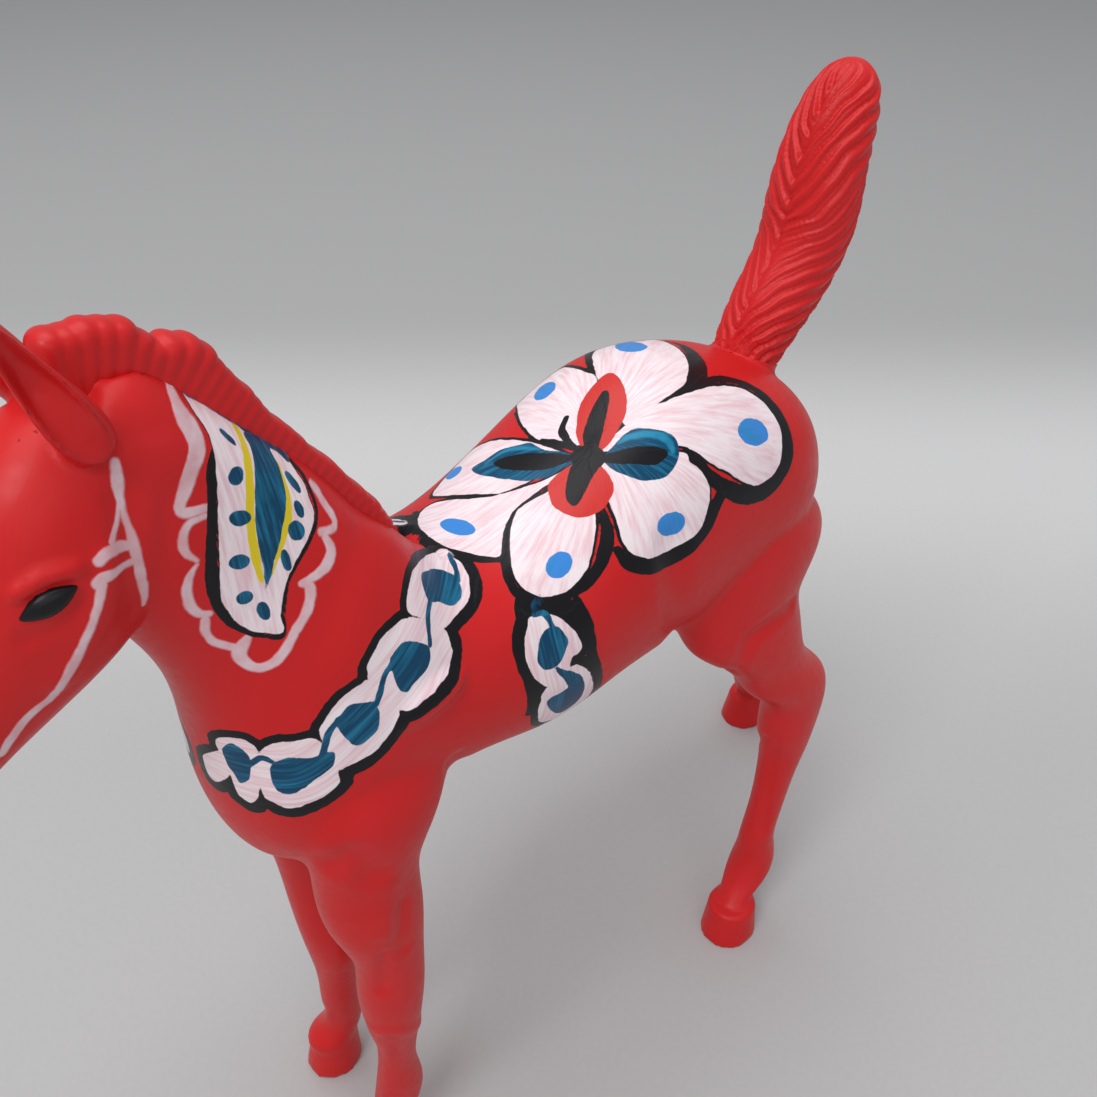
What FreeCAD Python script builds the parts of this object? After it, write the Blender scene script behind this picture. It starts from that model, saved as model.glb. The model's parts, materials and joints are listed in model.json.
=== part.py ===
import FreeCAD, Part
import math
import os

# A moulded plastic foal that stands with its tail straight up. The body is a pair of hollow half shells that
# meet on the median plane and are registered by pins. Legs, tail, ears and mane are plugged into them.
# The foal looks along -Y, its left side is +X, and it stands on the plane of its soles, Z = 0.

# Driving sizes in millimetres.
sizes = {
    # Trunk: its length, the floor to the belly, the belly to the croup, and the widest half width.
    "trunk_length": 100,
    "belly_height": 66,
    "trunk_depth": 50,
    "trunk_half_width": 20,
    # Neck, measured from the withers to the poll, and the unit of its half widths.
    "neck_reach": 28,
    "neck_rise": 28,
    "neck_half_width": 10,
    # Head, measured along its own axis, which drops by head_pitch degrees.
    "head_length": 50,
    "head_depth": 20,
    "head_half_width": 10,
    "head_pitch": 42,
    # Limbs: the unit of their half thicknesses, the height of a hoof, and the half widths of the hooves.
    "foreleg_bulk": 10,
    "hindleg_bulk": 10,
    "hoof_height": 6.8,
    "fore_hoof_half_width": 4.3,
    "hind_hoof_half_width": 4.9,
    # Tail, ears and mane.
    "tail_height": 42,
    "tail_half_width": 7.1,
    "ear_length": 17,
    "ear_half_width": 3,
    "mane_height": 4,
    "mane_thickness": 3.6,
    "mane_rib_pitch": 1.7,
    "mane_seat_depth": 2,
    # Moulding: wall of the shells, posts and pins that register them, and the plugs of the limbs.
    "wall": 2.2,
    "post_radius": 3,
    "pin_radius": 1.2,
    "pin_length": 4,
    "plug_radius": 2.4,
    "plug_length": 6,
    "plug_root": 4,
    "fit_gap": 0.1,
    "overrun": 1,
}

# Stations of the trunk, from the rump to the shoulders. Each gives the place of its crest and of its belly,
# as shares of the trunk's length and depth, and its half width as a share of the trunk's.
trunk_shares = [
    (-0.008, 0.610, -0.008, 0.510, 0.125),
    (0.003, 0.690, 0.003, 0.430, 0.340),
    (0.035, 0.770, 0.025, 0.360, 0.550),
    (0.110, 0.880, 0.100, 0.255, 0.830),
    (0.210, 0.960, 0.210, 0.190, 0.900),
    (0.340, 0.987, 0.350, 0.138, 0.905),
    (0.470, 0.872, 0.480, 0.130, 0.885),
    (0.590, 0.766, 0.600, 0.123, 0.855),
    (0.660, 0.756, 0.730, 0.155, 0.780),
    (0.700, 0.788, 0.840, 0.110, 0.740),
]
# The withers, from which the neck is measured.
withers_shares = (0.730, 0.860)

# Stations of the neck, which turn about the withers: crest, throat and half width.
neck_shares = [
    (0.000, 0.000, 0.780, -1.360, 1.480),
    (0.084, 0.090, 0.950, -1.020, 1.330),
    (0.183, 0.214, 0.970, -0.643, 1.150),
    (0.324, 0.420, 1.000, -0.286, 0.950),
    (0.547, 0.665, 1.110, 0.010, 0.850),
    (0.773, 0.908, 1.232, 0.214, 0.800),
    (0.994, 0.990, 1.393, 0.357, 0.700),
]

# Stations along the head's axis: the place, the rise to the face, the drop to the jaw, and the half width.
head_root_shares = (0.893, 0.679)
head_shares = [
    (-0.060, 0.375, 0.350, 0.650),
    (0.040, 0.555, 0.425, 0.800),
    (0.160, 0.640, 0.420, 0.900),
    (0.300, 0.565, 0.430, 0.920),
    (0.440, 0.415, 0.390, 0.760),
    (0.580, 0.300, 0.320, 0.580),
    (0.720, 0.250, 0.270, 0.490),
    (0.840, 0.220, 0.260, 0.490),
    (0.920, 0.150, 0.200, 0.400),
    (0.955, 0.080, 0.130, 0.260),
    (0.968, 0.020, 0.060, 0.100),
]

# Stations of a limb from its root in the trunk down into its hoof: the level (0 the floor, 1 the belly,
# 2 the croup), the place ahead of the limb's line as a share of the belly's height, the place beside the
# median plane as a share of the trunk's half width, and the half length and half width.
foreleg_left_shares = [
    (1.640, -0.035, 0.340, 0.580, 0.400),
    (1.480, 0.006, 0.450, 0.900, 0.520),
    (1.320, 0.044, 0.500, 0.980, 0.600),
    (1.180, 0.062, 0.508, 0.860, 0.615),
    (1.040, 0.080, 0.475, 0.720, 0.570),
    (0.909, 0.079, 0.493, 0.660, 0.560),
    (0.788, 0.069, 0.540, 0.490, 0.440),
    (0.682, 0.073, 0.540, 0.470, 0.440),
    (0.591, 0.076, 0.530, 0.420, 0.410),
    (0.520, 0.075, 0.522, 0.365, 0.335),
    (0.455, 0.071, 0.495, 0.305, 0.290),
    (0.364, 0.069, 0.456, 0.285, 0.270),
    (0.273, 0.064, 0.418, 0.345, 0.315),
    (0.205, 0.063, 0.382, 0.370, 0.335),
    (0.144, 0.085, 0.390, 0.330, 0.310),
    (0.076, 0.112, 0.390, 0.380, 0.360),
]
foreleg_right_shares = [
    (1.640, -0.035, -0.340, 0.580, 0.400),
    (1.480, 0.000, -0.450, 0.900, 0.520),
    (1.320, 0.030, -0.500, 0.980, 0.600),
    (1.180, 0.040, -0.530, 0.870, 0.620),
    (1.040, 0.048, -0.540, 0.760, 0.600),
    (0.909, 0.045, -0.520, 0.670, 0.570),
    (0.788, 0.043, -0.480, 0.580, 0.520),
    (0.682, 0.048, -0.424, 0.530, 0.480),
    (0.591, 0.052, -0.370, 0.485, 0.460),
    (0.515, 0.053, -0.355, 0.430, 0.430),
    (0.455, 0.054, -0.365, 0.370, 0.360),
    (0.364, 0.053, -0.390, 0.335, 0.295),
    (0.273, 0.052, -0.425, 0.320, 0.285),
    (0.205, 0.048, -0.455, 0.300, 0.285),
    (0.144, 0.062, -0.500, 0.345, 0.330),
    (0.076, 0.072, -0.530, 0.370, 0.360),
]
hindleg_left_shares = [
    (1.760, 0.075, 0.380, 0.540, 0.400),
    (1.600, 0.056, 0.500, 1.080, 0.600),
    (1.440, 0.038, 0.550, 1.430, 0.710),
    (1.280, 0.050, 0.600, 1.400, 0.680),
    (1.120, 0.053, 0.640, 1.170, 0.640),
    (1.000, 0.000, 0.680, 0.885, 0.600),
    (0.924, -0.050, 0.720, 0.760, 0.550),
    (0.848, -0.108, 0.780, 0.780, 0.500),
    (0.788, -0.136, 0.800, 0.650, 0.470),
    (0.712, -0.134, 0.800, 0.595, 0.455),
    (0.636, -0.131, 0.800, 0.490, 0.415),
    (0.561, -0.122, 0.805, 0.390, 0.350),
    (0.455, -0.104, 0.805, 0.330, 0.300),
    (0.348, -0.084, 0.800, 0.315, 0.290),
    (0.258, -0.078, 0.795, 0.365, 0.320),
    (0.197, -0.073, 0.795, 0.410, 0.380),
    (0.136, -0.025, 0.818, 0.340, 0.340),
    (0.076, 0.020, 0.860, 0.400, 0.400),
]
hindleg_right_shares = [
    (1.760, 0.075, -0.380, 0.540, 0.400),
    (1.600, 0.050, -0.500, 1.080, 0.600),
    (1.440, 0.014, -0.550, 1.430, 0.710),
    (1.280, 0.004, -0.600, 1.400, 0.680),
    (1.120, -0.050, -0.640, 1.260, 0.640),
    (1.000, -0.115, -0.650, 1.050, 0.600),
    (0.909, -0.190, -0.640, 0.880, 0.540),
    (0.818, -0.275, -0.620, 0.740, 0.500),
    (0.735, -0.365, -0.600, 0.690, 0.470),
    (0.659, -0.409, -0.600, 0.630, 0.460),
    (0.576, -0.452, -0.610, 0.480, 0.400),
    (0.470, -0.500, -0.640, 0.370, 0.310),
    (0.348, -0.563, -0.693, 0.330, 0.290),
    (0.258, -0.619, -0.740, 0.370, 0.320),
    (0.197, -0.659, -0.775, 0.420, 0.390),
    (0.136, -0.682, -0.820, 0.345, 0.335),
    (0.076, -0.694, -0.870, 0.390, 0.385),
]
# Where the lines of the limbs cross the trunk, as shares of its length.
foreleg_line_share = 0.810
hindleg_line_share = 0.150

# A hoof's coronet and its sole, ahead of and beside the last station of the limb, as shares of the hoof's
# half width: forward, outward, half length and half width.
coronet_shares = (0.03, 0.00, 0.88, 0.86)
sole_shares = (0.18, 0.05, 1.08, 1.00)

# Stations of the tail from the dock to the tip: the place behind and above the dock as shares of the tail's
# height, and the half width and half depth as shares of its half width.
dock_shares = (0.095, 0.780)
tail_shares = [
    (-0.010, 0.000, 0.66, 0.64),
    (0.043, 0.119, 0.74, 0.68),
    (0.148, 0.252, 0.84, 0.80),
    (0.250, 0.381, 0.91, 0.85),
    (0.308, 0.536, 0.98, 0.89),
    (0.336, 0.690, 0.94, 0.83),
    (0.383, 0.833, 0.845, 0.710),
    (0.431, 0.940, 0.64, 0.51),
]
tail_tip_shares = (0.460, 1.005)

# Stations of an ear from its root to its point: the place along it as a share of its length, and the half
# width and half thickness as shares of its half width. It leans forward and a little outward.
ear_root_shares = (1.100, 0.845, 0.70)
ear_lean_shares = (0.42, 0.10, 0.90)
ear_shares = [
    (0.00, 0.62, 0.60),
    (0.16, 0.88, 0.80),
    (0.36, 1.00, 0.72),
    (0.58, 0.84, 0.52),
    (0.80, 0.50, 0.30),
]

# The crest line that the mane stands on, from the withers over the poll to the forelock, as shares of the
# neck's reach and rise, and the mane's height there as a share of its own.
mane_shares = [
    (0.030, 0.012, 0.10),
    (0.100, 0.092, 0.34),
    (0.183, 0.214, 0.30),
    (0.324, 0.420, 0.20),
    (0.547, 0.667, 0.52),
    (0.688, 0.832, 0.82),
    (0.730, 0.873, 0.94),
    (0.773, 0.907, 0.92),
    (0.820, 0.934, 0.50),
    (0.905, 0.970, 0.94),
    (0.996, 0.993, 1.08),
    (1.095, 1.008, 0.84),
    (1.175, 0.985, 0.30),
]

# Places of the posts that carry the registering pins, as shares of the trunk's length and depth.
post_shares = [
    (0.200, 0.600),
    (0.430, 0.500),
    (0.640, 0.450),
    (0.830, 0.550),
]

# Poles of a half section of the body, from its crest round the flank to its belly: the reach to the side as a
# share of the half width, and up or down as a share of the half depth.
flank_shares = [
    (0.00, 1.00),
    (0.30, 1.00),
    (0.76, 0.80),
    (1.01, 0.29),
    (1.01, -0.29),
    (0.76, -0.80),
    (0.30, -1.00),
    (0.00, -1.00),
]

section_poles = 12
# A closed cubic curve runs inside its poles by this much, so the poles stand out by its inverse.
pole_reach = 3 / (2 + math.cos(2 * math.pi / section_poles))

doc = FreeCAD.newDocument("foal")
sheet = doc.addObject("Spreadsheet::Sheet", "sizes")
for row, (alias, value) in enumerate(sizes.items(), start=1):
    sheet.set("A%d" % row, alias)
    sheet.set("B%d" % row, str(value))
    sheet.setAlias("B%d" % row, alias)
doc.recompute()


def size(alias):
    """Reads one driving size from the sheet."""
    return float(sheet.get(alias))


def place(forward, side, up):
    """A point of the foal: how far ahead of the trunk's middle, to the left, and above the floor."""
    return FreeCAD.Vector(side, -forward, up)


def trunk_point(along, above):
    """A point of the median plane by its shares of the trunk's length and depth."""
    forward = (along - 0.5) * size("trunk_length")
    return place(forward, 0, size("belly_height") + above * size("trunk_depth"))


def neck_point(along, above):
    """A point of the median plane by its shares of the neck's reach and rise from the withers."""
    offset = place(along * size("neck_reach"), 0, above * size("neck_rise"))
    return trunk_point(*withers_shares) + offset


def closed_curve(centre, across, half_across, along, half_front, half_back):
    """A smooth closed section. Its poles go round an oval with its own reach before and behind."""
    poles = []
    for step in range(section_poles):
        angle = 2 * math.pi * step / section_poles
        half_along = half_front if math.sin(angle) > 0 else half_back
        reach = across * (half_across * math.cos(angle)) + along * (half_along * math.sin(angle))
        poles.append(centre + reach * pole_reach)
    curve = Part.BSplineCurve()
    knots = list(range(section_poles + 1))
    curve.buildFromPolesMultsKnots(poles, [1] * len(knots), knots, True, 3)
    return Part.Wire([curve.toShape()])


def half_section(crest, belly, half_width, side, inset=0):
    """Half a section: from its crest round one flank to its belly, and straight back up the median plane."""
    along = crest - belly
    half_depth = along.Length / 2 - inset
    along.normalize()
    centre = (crest + belly) / 2
    outward = FreeCAD.Vector(side * (half_width - inset), 0, 0)
    poles = [centre + outward * reach + along * (half_depth * rise) for reach, rise in flank_shares]
    curve = Part.BSplineCurve()
    spans = len(poles) - 3
    curve.buildFromPolesMultsKnots(poles, [4] + [1] * (spans - 1) + [4], list(range(spans + 1)), False, 3)
    return Part.Wire([curve.toShape(), Part.makeLine(poles[-1], poles[0])])


def body_sections(side, inset=0):
    """The half sections of the trunk and neck, or of the hollow inside them."""
    sections = []
    for along, above, belly_along, belly_above, half_width in trunk_shares:
        crest = trunk_point(along, above)
        belly = trunk_point(belly_along, belly_above)
        sections.append(half_section(crest, belly, half_width * size("trunk_half_width"), side, inset))
    for along, above, throat_along, throat_above, half_width in neck_shares:
        crest = neck_point(along, above)
        throat = neck_point(throat_along, throat_above)
        sections.append(half_section(crest, throat, half_width * size("neck_half_width"), side, inset))
    return sections


def body_form(side):
    """One half of the trunk and neck as a solid, from the rump to the poll."""
    return Part.makeLoft(body_sections(side), True, False)


def hollow_form(side):
    """One half of the hollow in the trunk and neck, which stops short of the rump and of the poll."""
    return Part.makeLoft(body_sections(side, size("wall"))[3:-2], True, False)


def head_form(side):
    """One half of the head, from inside the neck to the muzzle."""
    pitch = math.radians(size("head_pitch"))
    root = neck_point(*head_root_shares)
    axis = place(math.cos(pitch), 0, -math.sin(pitch))
    face = place(math.sin(pitch), 0, math.cos(pitch))
    sections = []
    for along, rise, drop, half_width in head_shares:
        centre = root + axis * (along * size("head_length"))
        crest = centre + face * (rise * size("head_depth"))
        jaw = centre - face * (drop * size("head_depth"))
        sections.append(half_section(crest, jaw, half_width * size("head_half_width"), side))
    return Part.makeLoft(sections, True, False)


def limb_level(share):
    """A height by its level: 0 the floor, 1 the belly, 2 the croup."""
    if share < 1:
        return share * size("belly_height")
    return size("belly_height") + (share - 1) * size("trunk_depth")


def limb_centre(station, line_share):
    """The centre of a limb's station."""
    level, ahead, beside = station[:3]
    forward = (line_share - 0.5) * size("trunk_length") + ahead * size("belly_height")
    return place(forward, beside * size("trunk_half_width"), limb_level(level))


def level_section(centre, half_length, half_width):
    """A horizontal section of a limb."""
    return closed_curve(centre, FreeCAD.Vector(1, 0, 0), half_width,
                        FreeCAD.Vector(0, -1, 0), half_length, half_length)


def hoof_form(ankle, side, unit):
    """A hoof: straight walls that flare from the coronet to the flat sole."""
    rings = []
    for shares, level in ((coronet_shares, size("hoof_height")), (sole_shares, 0)):
        ahead, outward, half_length, half_width = shares
        offset = place(ahead * unit, outward * unit * side, level - ankle.z)
        rings.append(level_section(ankle + offset, half_length * unit, half_width * unit))
    return Part.makeLoft(rings, True, True)


def limb_form(stations, line_share, bulk, hoof_half_width):
    """A whole limb, from its root inside the trunk to its sole."""
    rings = []
    for station in stations:
        half_length, half_width = station[3:]
        rings.append(level_section(limb_centre(station, line_share), half_length * bulk, half_width * bulk))
    side = math.copysign(1, stations[0][2])
    limb = Part.makeLoft(rings, True, False)
    return limb.fuse(hoof_form(limb_centre(stations[-1], line_share), side, hoof_half_width))


def joint_centre(stations, line_share):
    """Where a limb crosses the joint's plane: between the stations above and below it."""
    joint_height = size("belly_height") - size("overrun")
    centres = [limb_centre(station, line_share) for station in stations]
    for upper, lower in zip(centres, centres[1:]):
        if upper.z >= joint_height > lower.z:
            share = (upper.z - joint_height) / (upper.z - lower.z)
            return upper + (lower - upper) * share


def tail_form():
    """The tail, straight up from the dock, with a rounded tip."""
    dock = trunk_point(*dock_shares)
    height = size("tail_height")
    centres = [dock + place(-back * height, 0, above * height) for back, above, _, _ in tail_shares]
    tip = dock + place(-tail_tip_shares[0] * height, 0, tail_tip_shares[1] * height)
    sections = []
    for index, (_, _, half_width, half_depth) in enumerate(tail_shares):
        following = (centres + [tip])[index + 1]
        leading = centres[max(index - 1, 0)]
        run = (following - leading).normalize()
        ahead = FreeCAD.Vector(1, 0, 0).cross(run)
        depth = half_depth * size("tail_half_width")
        sections.append(closed_curve(centres[index], FreeCAD.Vector(1, 0, 0),
                                     half_width * size("tail_half_width"), ahead, depth, depth))
    return Part.makeLoft(sections + [Part.Vertex(tip)], True, False)


def ear_frame(side):
    """The root of an ear and the way that it points, on the given side of the head."""
    along, above, beside = ear_root_shares
    root = neck_point(along, above) + place(0, side * beside * size("neck_half_width"), 0)
    ahead, outward, upward = ear_lean_shares
    return root, place(ahead, side * outward, upward).normalize()


def ear_form(side):
    """An ear: a leaf that is narrow at its root, widest at a third and pointed at its end."""
    root, run = ear_frame(side)
    sideways = FreeCAD.Vector(1, 0, 0)
    sideways = (sideways - run * sideways.dot(run)).normalize()
    ahead = run.cross(sideways)
    unit = size("ear_half_width")
    sections = []
    for along, half_width, half_depth in ear_shares:
        centre = root + run * (along * size("ear_length"))
        sections.append(closed_curve(centre, sideways, half_width * unit, ahead,
                                     half_depth * unit, half_depth * unit))
    point = Part.Vertex(root + run * size("ear_length"))
    return Part.makeLoft(sections + [point], True, False)


def crest_curve():
    """The crest line under the mane, as a smooth curve through its stations."""
    curve = Part.BSplineCurve()
    curve.interpolate([neck_point(along, above) for along, above, _ in mane_shares])
    return curve


def mane_top(curve, parameter):
    """The mane's height at a place on the crest line, read between its stations."""
    places = [curve.parameter(neck_point(along, above)) for along, above, _ in mane_shares]
    heights = [share * size("mane_height") for _, _, share in mane_shares]
    for index in range(len(places) - 1):
        if parameter <= places[index + 1] or index == len(places) - 2:
            share = (parameter - places[index]) / (places[index + 1] - places[index])
            return heights[index] + (heights[index + 1] - heights[index]) * min(share, 1)


def mane_section(curve, parameter, half_thickness, rise, depth):
    """One upright section of the mane or of its seat: flat flanks and a crowned top."""
    foot = curve.value(parameter)
    run = curve.tangent(parameter)[0]
    upright = run.cross(FreeCAD.Vector(1, 0, 0)).normalize()
    if upright.z < 0:
        upright = -upright
    flank = FreeCAD.Vector(half_thickness, 0, 0)
    shoulder = upright * (rise - half_thickness / 2)
    corners = [foot - upright * depth - flank, foot + shoulder - flank,
               foot + upright * rise - flank / 2, foot + upright * rise + flank / 2,
               foot + shoulder + flank, foot - upright * depth + flank]
    return Part.makePolygon(corners + corners[:1])


def mane_form():
    """The standing mane: a strip whose thickness and height swell and sink at each lock of hair."""
    curve = crest_curve()
    locks = max(2, round(curve.length() / size("mane_rib_pitch")))
    valley_share = 0.74
    sections = []
    for step in range(2 * locks + 1):
        parameter = curve.parameterAtDistance(curve.length() * step / (2 * locks), curve.FirstParameter)
        swell = 1 if step % 2 else valley_share
        half_thickness = swell * size("mane_thickness") / 2
        rise = mane_top(curve, parameter) * (0.5 + swell / 2) + half_thickness / 2
        sections.append(mane_section(curve, parameter, half_thickness, rise, size("mane_seat_depth")))
    return Part.makeLoft(sections, True, True)


def mane_seat_form():
    """The groove along the crest that the mane is set into."""
    curve = crest_curve()
    half_thickness = size("mane_thickness") / 2 + size("fit_gap")
    depth = size("mane_seat_depth") + size("fit_gap")
    sections = []
    for along, above, _ in mane_shares:
        parameter = curve.parameter(neck_point(along, above))
        sections.append(mane_section(curve, parameter, half_thickness, size("mane_height"), depth))
    return Part.makeLoft(sections, True, True)


def add_form(name, shape):
    """Puts a modelled form into the document."""
    feature = doc.addObject("Part::Feature", name)
    feature.Shape = shape
    return feature


def add_cylinder(name, radius, height, foot, direction):
    """A round pin, post or bore, whose radius and height are expressions of the sheet."""
    cylinder = doc.addObject("Part::Cylinder", name)
    cylinder.setExpression("Radius", radius)
    cylinder.setExpression("Height", height)
    turn = FreeCAD.Rotation(FreeCAD.Vector(0, 0, 1), direction)
    cylinder.Placement = FreeCAD.Placement(foot, turn)
    return cylinder


def add_slab(name, bottom, height):
    """A wide box between two levels, which cuts the limbs at their joints."""
    slab = doc.addObject("Part::Box", name)
    slab.setExpression("Length", "4 * sizes.trunk_half_width")
    slab.setExpression("Width", "3 * sizes.trunk_length")
    slab.setExpression("Height", height)
    reach = size("trunk_length") * 1.5
    slab.Placement.Base = FreeCAD.Vector(-2 * size("trunk_half_width"), -reach, bottom)
    return slab


def cut(name, base, *tools):
    """The base without the tools."""
    tool = tools[0] if len(tools) == 1 else fuse(name + "_tools", *tools)
    result = doc.addObject("Part::Cut", name)
    result.Base = base
    result.Tool = tool
    return result


def fuse(name, *shapes):
    """Several forms as one."""
    result = doc.addObject("Part::MultiFuse", name)
    result.Shapes = list(shapes)
    return result


def common(name, first, second):
    """What two forms share."""
    result = doc.addObject("Part::MultiCommon", name)
    result.Shapes = [first, second]
    return result


fore_sizes = (foreleg_line_share, size("foreleg_bulk"), size("fore_hoof_half_width"))
hind_sizes = (hindleg_line_share, size("hindleg_bulk"), size("hind_hoof_half_width"))
limbs = {
    "foreleg_left": (foreleg_left_shares, fore_sizes),
    "foreleg_right": (foreleg_right_shares, fore_sizes),
    "hindleg_left": (hindleg_left_shares, hind_sizes),
    "hindleg_right": (hindleg_right_shares, hind_sizes),
}
upward = FreeCAD.Vector(0, 0, 1)
leftward = FreeCAD.Vector(1, 0, 0)
sub_parts = {}

# The limbs are parted just under the belly. Each lower limb carries a plug for the bore above it.
joint_height = size("belly_height") - size("overrun")
above_joint = add_slab("above_joint", joint_height, "sizes.trunk_depth * 2")
below_joint = add_slab("below_joint", 0, "sizes.belly_height - sizes.overrun")
roots = {1: [], -1: []}
bores = {1: [], -1: []}
for name, (stations, (line_share, bulk, hoof_half_width)) in limbs.items():
    side = 1 if stations[0][2] > 0 else -1
    form = add_form(name + "_form", limb_form(stations, line_share, bulk, hoof_half_width))
    roots[side].append(common(name + "_root", form, above_joint))
    lower = common(name + "_lower", form, below_joint)
    foot = joint_centre(stations, line_share)
    plug = add_cylinder(name + "_plug", "sizes.plug_radius", "sizes.plug_root + sizes.plug_length",
                        foot - upward * size("plug_root"), upward)
    bore = add_cylinder(name + "_bore", "sizes.plug_radius + sizes.fit_gap",
                        "sizes.overrun + sizes.plug_length + sizes.fit_gap",
                        foot - upward * size("overrun"), upward)
    bores[side].append(bore)
    sub_parts[name] = fuse(name, lower, plug)

# The tail, the ears and the mane are let into the shells.
tail = add_form("tail", tail_form())
mane_seat = add_form("mane_seat", mane_seat_form())
ears = {1: add_form("ear_left", ear_form(1)), -1: add_form("ear_right", ear_form(-1))}
sub_parts["tail"] = tail
sub_parts["ear_left"] = ears[1]
sub_parts["ear_right"] = ears[-1]
sub_parts["mane_strip"] = add_form("mane_strip", mane_form())

# The two hollow half shells. Posts cross the hollow; the left ones are bored for the pins of the right ones.
for name, side in (("body_shell_left", 1), ("body_shell_right", -1)):
    outward = leftward * side
    posts = []
    pins = []
    for index, (along, above) in enumerate(post_shares):
        middle = trunk_point(along, above)
        label = "%s_post_%d" % (name, index)
        posts.append(add_cylinder(label, "sizes.post_radius", "sizes.trunk_half_width", middle, outward))
        if side > 0:
            pins.append(add_cylinder(label + "_socket", "sizes.pin_radius + sizes.fit_gap",
                                     "sizes.overrun + sizes.pin_length + sizes.fit_gap",
                                     middle - leftward * size("overrun"), leftward))
        else:
            pins.append(add_cylinder(label + "_pin", "sizes.pin_radius", "2 * sizes.pin_length",
                                     middle - leftward * size("pin_length"), leftward))
    hollow = cut(name + "_hollow", add_form(name + "_core", hollow_form(side)), *posts)
    skin = fuse(name + "_skin", add_form(name + "_trunk", body_form(side)),
                add_form(name + "_head", head_form(side)), *roots[side])
    shell = cut(name + "_wall", skin, hollow)
    seats = [tail, mane_seat, ears[side]] + bores[side]
    if side > 0:
        sub_parts[name] = cut(name, shell, *(seats + pins))
    else:
        sub_parts[name] = fuse(name, cut(name + "_seated", shell, *seats), *pins)

doc.recompute()

# The foal stands with the middle of its outline over the origin.
outline = FreeCAD.BoundBox()
for feature in sub_parts.values():
    outline.add(feature.Shape.optimalBoundingBox())
shift = FreeCAD.Vector(-outline.Center.x, -outline.Center.y, 0)
for name, feature in sub_parts.items():
    feature.Label = name
    feature.Placement = FreeCAD.Placement(shift, FreeCAD.Rotation())

for feature in doc.Objects:
    if "Invalid" in feature.State or "Error" in feature.State:
        raise RuntimeError("%s is in state %s" % (feature.Name, feature.State))
for name, feature in sub_parts.items():
    if feature.Shape.isNull() or not feature.Shape.isValid():
        raise RuntimeError("%s has no valid shape" % name)

os.makedirs("parts", exist_ok=True)
for name, feature in sub_parts.items():
    feature.Shape.exportStep("parts/%s.step" % name)
    print(name, len(feature.Shape.Solids), round(feature.Shape.Volume, 1))
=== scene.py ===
"""A moulded foal with an upright tail, painted red and decorated with a flower, a leaf and beaded bands.

The foal looks along -Y and its left side is +X. Lengths are in millimetres unless they say otherwise. Places
in the picture are in pixels of its 1097 by 1097 frame, and are carried onto the skin by rays from the camera.
"""

import json
import math

import bmesh
import bpy
import numpy as np
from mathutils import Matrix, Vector
from mathutils.bvhtree import BVHTree

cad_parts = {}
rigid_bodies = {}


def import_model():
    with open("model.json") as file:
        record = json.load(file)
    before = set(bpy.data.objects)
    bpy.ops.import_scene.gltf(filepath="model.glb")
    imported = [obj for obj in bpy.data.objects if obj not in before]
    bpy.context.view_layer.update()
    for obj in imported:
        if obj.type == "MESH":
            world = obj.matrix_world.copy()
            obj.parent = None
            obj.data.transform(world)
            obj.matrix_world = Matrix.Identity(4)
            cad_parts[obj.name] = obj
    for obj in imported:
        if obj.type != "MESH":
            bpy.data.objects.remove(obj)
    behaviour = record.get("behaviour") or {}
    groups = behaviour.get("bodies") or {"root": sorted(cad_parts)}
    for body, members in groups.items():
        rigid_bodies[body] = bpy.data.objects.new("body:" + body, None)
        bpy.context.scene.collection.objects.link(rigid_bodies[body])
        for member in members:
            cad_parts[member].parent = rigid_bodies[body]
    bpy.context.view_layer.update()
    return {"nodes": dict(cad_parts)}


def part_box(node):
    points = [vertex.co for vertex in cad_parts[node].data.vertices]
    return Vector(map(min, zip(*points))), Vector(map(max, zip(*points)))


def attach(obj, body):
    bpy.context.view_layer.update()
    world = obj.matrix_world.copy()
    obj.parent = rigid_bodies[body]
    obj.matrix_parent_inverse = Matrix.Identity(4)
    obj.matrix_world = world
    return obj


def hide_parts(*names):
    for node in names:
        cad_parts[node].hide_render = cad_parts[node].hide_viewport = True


for leftover in list(bpy.data.objects):
    bpy.data.objects.remove(leftover)
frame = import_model()

bl_info = {
    "name": "Painted model foal",
    "version": (1, 0, 0),
    "blender": (4, 5, 0),
    "location": "View3D > Sidebar > Foal",
    "description": "Builds the skin, mane, tail, eyes and painted ornament of a model foal",
    "category": "Object",
}

MM = 0.001
FAR = 9.0               # a distance that means: nowhere near this paint

# The camera: its place, the point that it looks at, and its focal length in pixels of the picture.
CAMERA_PLACE = (90.89, -79.80, 178.44)
CAMERA_TARGET = (-4.71, 6.88, 87.87)
PICTURE_WIDTH = 1097
FOCAL_PIXELS = 1100.4
SEARCH_STEPS = 40       # how finely a pixel beside the foal is moved until its ray meets the skin

# Places that follow from the frame.
MEDIAN = sum(corner[0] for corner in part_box("mane_strip")) / 2 / MM
BELLY_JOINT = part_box("body_shell_left")[0][2] / MM

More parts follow.
